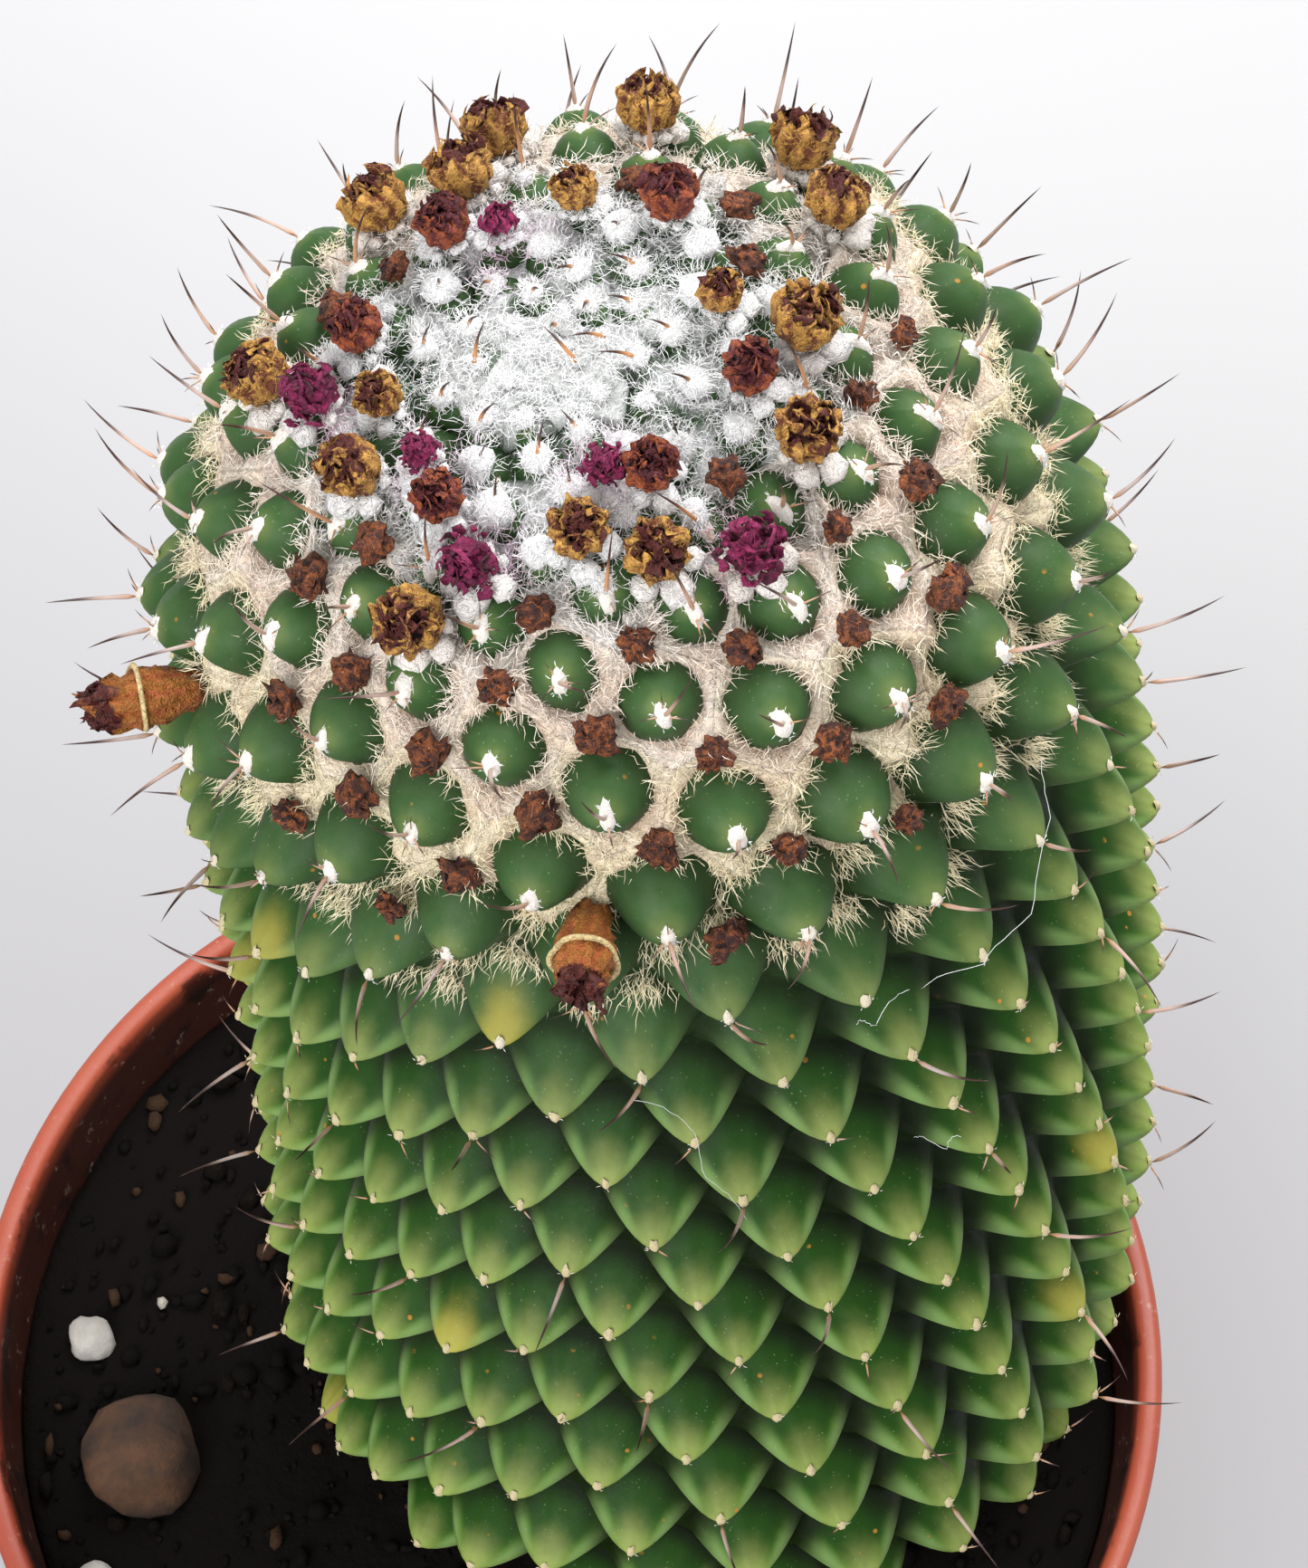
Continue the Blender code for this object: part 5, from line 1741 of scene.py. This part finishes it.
def add_crumbs(heap, count, edge, rng):
    """Loose crumbs, clear of the stem and the stones: mostly dark mix, some bark, a little pale grit."""
    points, faces = ball(1)
    radius = edge * CRUMB_FIELD * rng.uniform(0, 1, count) ** 0.5
    turn = rng.uniform(0, 2 * np.pi, count)
    size = CRUMB_SIZE + CRUMB_GROWTH * rng.uniform(0, 1, count) ** 3
    x, y = radius * np.cos(turn), radius * np.sin(turn)
    clear = np.hypot(x - STEM_FOOT[0], y - STEM_FOOT[1]) > FOOT_STEM_RADIUS - CRUMB_OVERLAP
    for stone_x, stone_y, stone_radius, _ in STONES:
        clear &= np.hypot(x - stone_x, y - stone_y) > stone_radius + CRUMB_CLEARANCE
    x, y, size = x[clear], y[clear], size[clear]
    height = np.array([soil_height(*p) for p in zip(x, y)]) + size * CRUMB_LIFT
    centre = np.stack([x, y, height], -1)[:, None]
    stretch = rng.uniform(*CRUMB_STRETCH, (len(x), 1, 3))
    rough = 1 + CRUMB_ROUGHNESS * rng.uniform(-1, 1, (len(x), len(points), 1))
    shapes = points * stretch * rough * size[:, None, None]
    tone = rng.choice(CRUMB_TONES, len(x), p=CRUMB_SHARES)
    heap.add_copies(centre + shapes, [faces], tone=tone[:, None])


def dress_stones():
    """The loose stones, each of the solids' shape with a finer surface."""
    looks = {kind: stone_looks(*colours) for kind, colours in STONE_COLOURS.items()}
    points, faces = ball(3)
    for i, (x, y, radius, kind) in enumerate(STONES):
        broad = STONE_BUMP * noise_at(points * 1.3, (i * 3.1, 0, 0))
        fine = np.array([STONE_GRAIN * noise.fractal(Vector(p * 4.5 + i), 0.6, 2.0, 4) for p in points])
        shape = points * radius * (1 + broad + fine)[:, None]
        heap = Heap()
        heap.add(shape * (1, 1, STONE_FLATNESS) + (x, y, SOIL_LEVEL + radius * STONE_SUNK), [faces])
        heap.piece(f"loose_stone_{i + 1:02d}", looks[kind], f"{kind}_stone", (f"stone_{i + 1:02d}",))


# The stage


def lamp(name, place, power):
    """A soft square lamp that looks at the plant."""
    light = bpy.data.lights.new(name, "AREA")
    light.shape, light.size, light.energy = "SQUARE", LAMP_SIZE, power
    obj = linked(name, light)
    obj.location = place
    obj.rotation_mode = "QUATERNION"
    obj.rotation_quaternion = (Vector(STAGE_AIM) - Vector(place)).to_track_quat("-Z", "Y")


def set_stage(stage):
    """A pale floor, soft light from above and behind, and the camera looking steeply down."""
    set_floor(stage)
    world = bpy.data.worlds.new("studio")
    world.use_nodes = True
    sky = world.node_tree.nodes["Background"]
    sky.inputs["Color"].default_value = (*SKY, 1)
    sky.inputs["Strength"].default_value = stage.fill
    bpy.context.scene.world = world
    bpy.context.scene.view_settings.view_transform = "Standard"
    lamp("window", WINDOW_PLACE, stage.key)
    lamp("front", FRONT_PLACE, stage.key * FRONT_POWER)
    set_camera(stage)


def set_floor(stage):
    """The floor, with painted shade that darkens it in front and to the left."""
    mesh = bpy.data.meshes.new("floor")
    corners = [(-1, -1), (1, -1), (1, 1), (-1, 1)]
    mesh.from_pydata([(x * FLOOR_HALF, y * FLOOR_HALF, 0) for x, y in corners], [], [(0, 1, 2, 3)])
    floor = linked("floor", mesh)
    looks = Looks("pale floor", 0.8)
    # Painted shade: the floor fades darker towards the front and the left.
    across = looks.part_of_place("X") * 0.6 + looks.part_of_place("Y")
    fade = looks.between(across, 0.0, FLOOR_FADE)
    looks.set(Base_Color=looks.mix(fade, stage.floor_front_shade, stage.floor))
    floor.data.materials.append(looks.material)


def set_camera(stage):
    """The camera at the photograph's angle, with its tall frame filled as there."""
    camera = bpy.data.cameras.new("camera")
    camera.lens = stage.lens
    camera.sensor_width = SENSOR_WIDTH
    camera.sensor_fit = "AUTO"
    camera.clip_start, camera.clip_end = VIEW_DEPTH
    obj = linked("camera", camera)
    tilt = stage.camera_elevation
    back = Vector((0, -math.cos(tilt), math.sin(tilt)))
    obj.location = Vector(stage.camera_target) + back * stage.camera_distance
    obj.rotation_mode = "QUATERNION"
    obj.rotation_quaternion = (-back).to_track_quat("-Z", "Y")
    bpy.context.scene.camera = obj


# Settings


def colour_property(name, default):
    """A colour to choose in the panel."""
    words = {"name": name, "description": f"Colour: {name}"}
    return FloatVectorProperty(**words, default=default, subtype="COLOR", min=0, max=1)


def count_property(name, description, default, low=0):
    """A number of things."""
    return IntProperty(name=name, description=description, default=default, min=low)


def number_property(name, description, default, **more):
    """A number, with its limits or its unit."""
    return FloatProperty(name=name, description=description, default=default, **more)


def length_property(name, description, default):
    """A length in metres."""
    return number_property(name, description, default, subtype="DISTANCE")


class StemSettings(bpy.types.PropertyGroup):
    """Colours and fineness of the stem, and colours of the areoles' pads."""

    edge_points: count_property("Points an edge", "Points along each edge of a cell", 4, 1)
    head_green: colour_property("Head green", (0.048, 0.097, 0.034))
    body_green: colour_property("Body green", (0.060, 0.148, 0.011))
    dark_green: colour_property("Mottling", (0.020, 0.070, 0.012))
    # Painted shade on the body's upper faces and painted highlight on its ridges
    hollow_shade_green: colour_property("Upper faces", (0.010, 0.046, 0.004))
    ridge_highlight_green: colour_property("Ridges", (0.155, 0.255, 0.078))
    tip_green: colour_property("Round the areoles", (0.36, 0.40, 0.12))
    yellow: colour_property("Yellowed", (0.42, 0.34, 0.05))
    # Painted shade: the near-black that the skin darkens to in the valleys
    valley: colour_property("Valleys", (0.004, 0.007, 0.002))
    specks: colour_property("Pale specks", (0.30, 0.42, 0.22))
    rust_spots: colour_property("Rust spots", (0.45, 0.20, 0.03))
    pad: colour_property("Young pads", (0.90, 0.86, 0.80))
    old_pad: colour_property("Old pads", (0.60, 0.52, 0.28))
    pad_shade: colour_property("Shade on the pads", (0.62, 0.50, 0.40))


class SpineSettings(bpy.types.PropertyGroup):
    """Size and colours of the spines."""

    radius: length_property("Radius", "Radius at a spine's foot", 0.00026)
    length_share: number_property("Length", "Share of the full length", 1.0, min=0, max=1)
    young: colour_property("Young spine", (0.52, 0.23, 0.08))
    old: colour_property("Old spine", (0.44, 0.36, 0.34))
    tip: colour_property("Tip", (0.045, 0.018, 0.014))
    streak: colour_property("Streaks", (0.42, 0.22, 0.12))


class WoolSettings(bpy.types.PropertyGroup):
    """Number, thickness and colours of the wool's hairs."""

    hair_radius: length_property("Hair radius", "Radius of one hair", 0.000032)
    crown_hairs: count_property("Crown hairs", "Hairs over the crown", 8000)
    axil_hairs: count_property("Axil hairs", "Hairs between the tubercles", 20500)
    tuft_hairs: count_property("Tuft hairs", "Hairs on each tuft", 92)
    old_hairs: count_property("Old tuft hairs", "Hairs on each old tuft", 100)
    collar_hairs: count_property("Collar hairs", "Hairs on each knot of a collar", 22)
    young: colour_property("At the crown", (0.95, 0.95, 0.95))
    middle: colour_property("On the head", (0.99, 0.88, 0.78))
    old: colour_property("Lower down", (0.98, 0.88, 0.60))
    rosy: colour_property("Rosy patches", (0.84, 0.62, 0.47))
    # Painted warm shadow on the felt where it meets the knobs
    edge: colour_property("Painted shadow beside the knobs", (0.50, 0.29, 0.17))
    shade: colour_property("Shaded wool", (0.80, 0.81, 0.80))
    warm_shade: colour_property("Shaded old wool", (0.86, 0.71, 0.56))
    stain: colour_property("Stained by petals", (0.72, 0.30, 0.55))
    seen_through: colour_property("Green seen through it", (0.030, 0.075, 0.022))


class FlowerSettings(bpy.types.PropertyGroup):
    """Colours of the dried flowers and fruits."""

    # Crest and fold colours also carry painted highlight; the colours between the folds and in the grooves
    # also carry painted shade.
    gold: colour_property("Gold folds", (0.78, 0.41, 0.085))
    bark: colour_property("Between the folds", (0.15, 0.030, 0.010))
    amber: colour_property("Dried fruit", (0.46, 0.17, 0.026))
    burnt: colour_property("Burnt petals", (0.105, 0.014, 0.009))
    russet: colour_property("Russet folds", (0.46, 0.105, 0.030))
    wine: colour_property("Wine-red petals", (0.10, 0.008, 0.014))
    magenta: colour_property("Withered petals", (0.34, 0.018, 0.11))
    dark_petal: colour_property("Between the petals", (0.12, 0.006, 0.045))
    petal_tips: colour_property("Withered petals' tips", (0.07, 0.005, 0.02))
    remains: colour_property("Flower remains", (0.042, 0.009, 0.006))
    rust: colour_property("Their crests", (0.36, 0.10, 0.025))
    charred: colour_property("Their tips", (0.020, 0.006, 0.005))
    ring: colour_property("Ring on the fruits", (0.80, 0.62, 0.30))
    ring_shade: colour_property("Ring's shaded side", (0.66, 0.44, 0.17))


class PotSettings(bpy.types.PropertyGroup):
    """Fineness and colours of the pot, and what lies on the soil."""

    sides: count_property("Sides", "Sides of the turned pot", 144, 12)
    crumbs: count_property("Crumbs", "Loose crumbs on the soil", 1500)
    plastic: colour_property("Plastic", (0.29, 0.048, 0.024))
    pale: colour_property("Scuffed plastic", (0.36, 0.085, 0.042))
    dust: colour_property("Dust", (0.50, 0.36, 0.28))
    # Dirt splashed inside, and the painted shade and dirt of the inner wall
    dirt_and_shade: colour_property("Dirt", (0.010, 0.006, 0.005))
    soil: colour_property("Soil", (0.005, 0.004, 0.0035))
    bark: colour_property("Bark", (0.040, 0.022, 0.013))
    grit: colour_property("Grit", (0.40, 0.37, 0.32))


class StageSettings(bpy.types.PropertyGroup):
    """The floor's colours, the lights and the camera."""

    floor: colour_property("Floor at the back", (0.475, 0.473, 0.477))
    # Painted shade on the floor in front and to the left
    floor_front_shade: colour_property("Floor in front", (0.300, 0.296, 0.305))
    key: number_property("Window light", "Power of the main lamp", 23.0, subtype="POWER")
    fill: number_property("Sky light", "Strength of the light all round", 0.80)
    lens: number_property("Lens", "Focal length in millimetres", 178.99)
    camera_elevation: number_property(
        "Elevation", "How steeply the camera looks down", math.radians(63.532), subtype="ANGLE"
    )
    camera_distance: length_property("Distance", "From the camera to what it looks at", 0.72455)
    camera_target: FloatVectorProperty(
        name="Target",
        description="The point the camera looks at",
        default=(0.009468, 0, 0.256337),
        subtype="XYZ",
    )


class MammillariaSettings(bpy.types.PropertyGroup):
    """All settings of the plant and its pot."""

    stem: PointerProperty(type=StemSettings)
    spines: PointerProperty(type=SpineSettings)
    wool: PointerProperty(type=WoolSettings)
    flowers: PointerProperty(type=FlowerSettings)
    pot: PointerProperty(type=PotSettings)
    stage: PointerProperty(type=StageSettings)


# Operators


class MAMMILLARIA_OT_stem(bpy.types.Operator):
    """Build the green stem with its tubercles and areoles"""

    bl_idname = "mammillaria.stem"
    bl_label = "Stem and areoles"

    def execute(self, context):
        """Builds the stem and then its areoles."""
        dress_stem(context.scene.mammillaria.stem)
        dress_areoles()
        return {"FINISHED"}


class MAMMILLARIA_OT_spines(bpy.types.Operator):
    """Build the spines"""

    bl_idname = "mammillaria.spines"
    bl_label = "Spines"

    def execute(self, context):
        """Builds the spines."""
        dress_spines(context.scene.mammillaria.spines)
        return {"FINISHED"}


class MAMMILLARIA_OT_wool(bpy.types.Operator):
    """Build the wool of the crown and the axils"""

    bl_idname = "mammillaria.wool"
    bl_label = "Wool"

    def execute(self, context):
        """Builds the felt and the hairs on it."""
        settings = context.scene.mammillaria
        dress_felt(settings.stem)
        dress_crown_wool(settings.wool)
        dress_axil_wool(settings.wool, settings.stem)
        dress_tufts(settings.wool)
        dress_old_tufts(settings.wool)
        dress_silk(settings.wool)
        return {"FINISHED"}


class MAMMILLARIA_OT_flowers(bpy.types.Operator):
    """Build the dried buds, withered flowers, flower remains and dried fruits"""

    bl_idname = "mammillaria.flowers"
    bl_label = "Dried flowers and fruits"

    def execute(self, context):
        """Builds the flowers from the ring outwards."""
        for dress in (dress_buds, dress_withered, dress_remains, dress_fruits):
            dress(context.scene.mammillaria.flowers)
        return {"FINISHED"}


class MAMMILLARIA_OT_pot(bpy.types.Operator):
    """Build the pot, the soil and the loose stones"""

    bl_idname = "mammillaria.pot"
    bl_label = "Pot, soil and stones"

    def execute(self, context):
        """Builds the pot and what lies in it."""
        dress_pot(context.scene.mammillaria.pot)
        dress_soil(context.scene.mammillaria.pot)
        dress_stones()
        return {"FINISHED"}


class MAMMILLARIA_OT_stage(bpy.types.Operator):
    """Set the floor, the lights and the camera"""

    bl_idname = "mammillaria.stage"
    bl_label = "Stage"

    def execute(self, context):
        """Sets the stage."""
        set_stage(context.scene.mammillaria.stage)
        return {"FINISHED"}


class MAMMILLARIA_PT_panel(bpy.types.Panel):
    """The mammillaria's pieces and their settings"""

    bl_idname = "MAMMILLARIA_PT_panel"
    bl_label = "Potted mammillaria"
    bl_space_type = "VIEW_3D"
    bl_region_type = "UI"
    bl_category = "Mammillaria"

    def draw(self, context):
        """Shows a button for each step, and its settings under it."""
        for step in STEPS:
            self.layout.operator(f"mammillaria.{step}")
            settings = getattr(context.scene.mammillaria, step)
            box = self.layout.box()
            for key in settings.__annotations__:
                box.prop(settings, key)


STEPS = ("stem", "spines", "wool", "flowers", "pot", "stage")
CLASSES = (
    StemSettings,
    SpineSettings,
    WoolSettings,
    FlowerSettings,
    PotSettings,
    StageSettings,
    MammillariaSettings,
    MAMMILLARIA_OT_stem,
    MAMMILLARIA_OT_spines,
    MAMMILLARIA_OT_wool,
    MAMMILLARIA_OT_flowers,
    MAMMILLARIA_OT_pot,
    MAMMILLARIA_OT_stage,
    MAMMILLARIA_PT_panel,
)


def register():
    """Adds the settings, the operators and the panel to Blender."""
    for cls in CLASSES:
        bpy.utils.register_class(cls)
    bpy.types.Scene.mammillaria = PointerProperty(type=MammillariaSettings)


def unregister():
    """Takes them away again."""
    del bpy.types.Scene.mammillaria
    for cls in reversed(CLASSES):
        bpy.utils.unregister_class(cls)


def main():
    """Builds every piece and sets the stage."""
    register()
    bpy.ops.mammillaria.stem()
    bpy.ops.mammillaria.spines()
    bpy.ops.mammillaria.wool()
    bpy.ops.mammillaria.flowers()
    bpy.ops.mammillaria.pot()
    bpy.ops.mammillaria.stage()


if __name__ == "__main__":
    main()
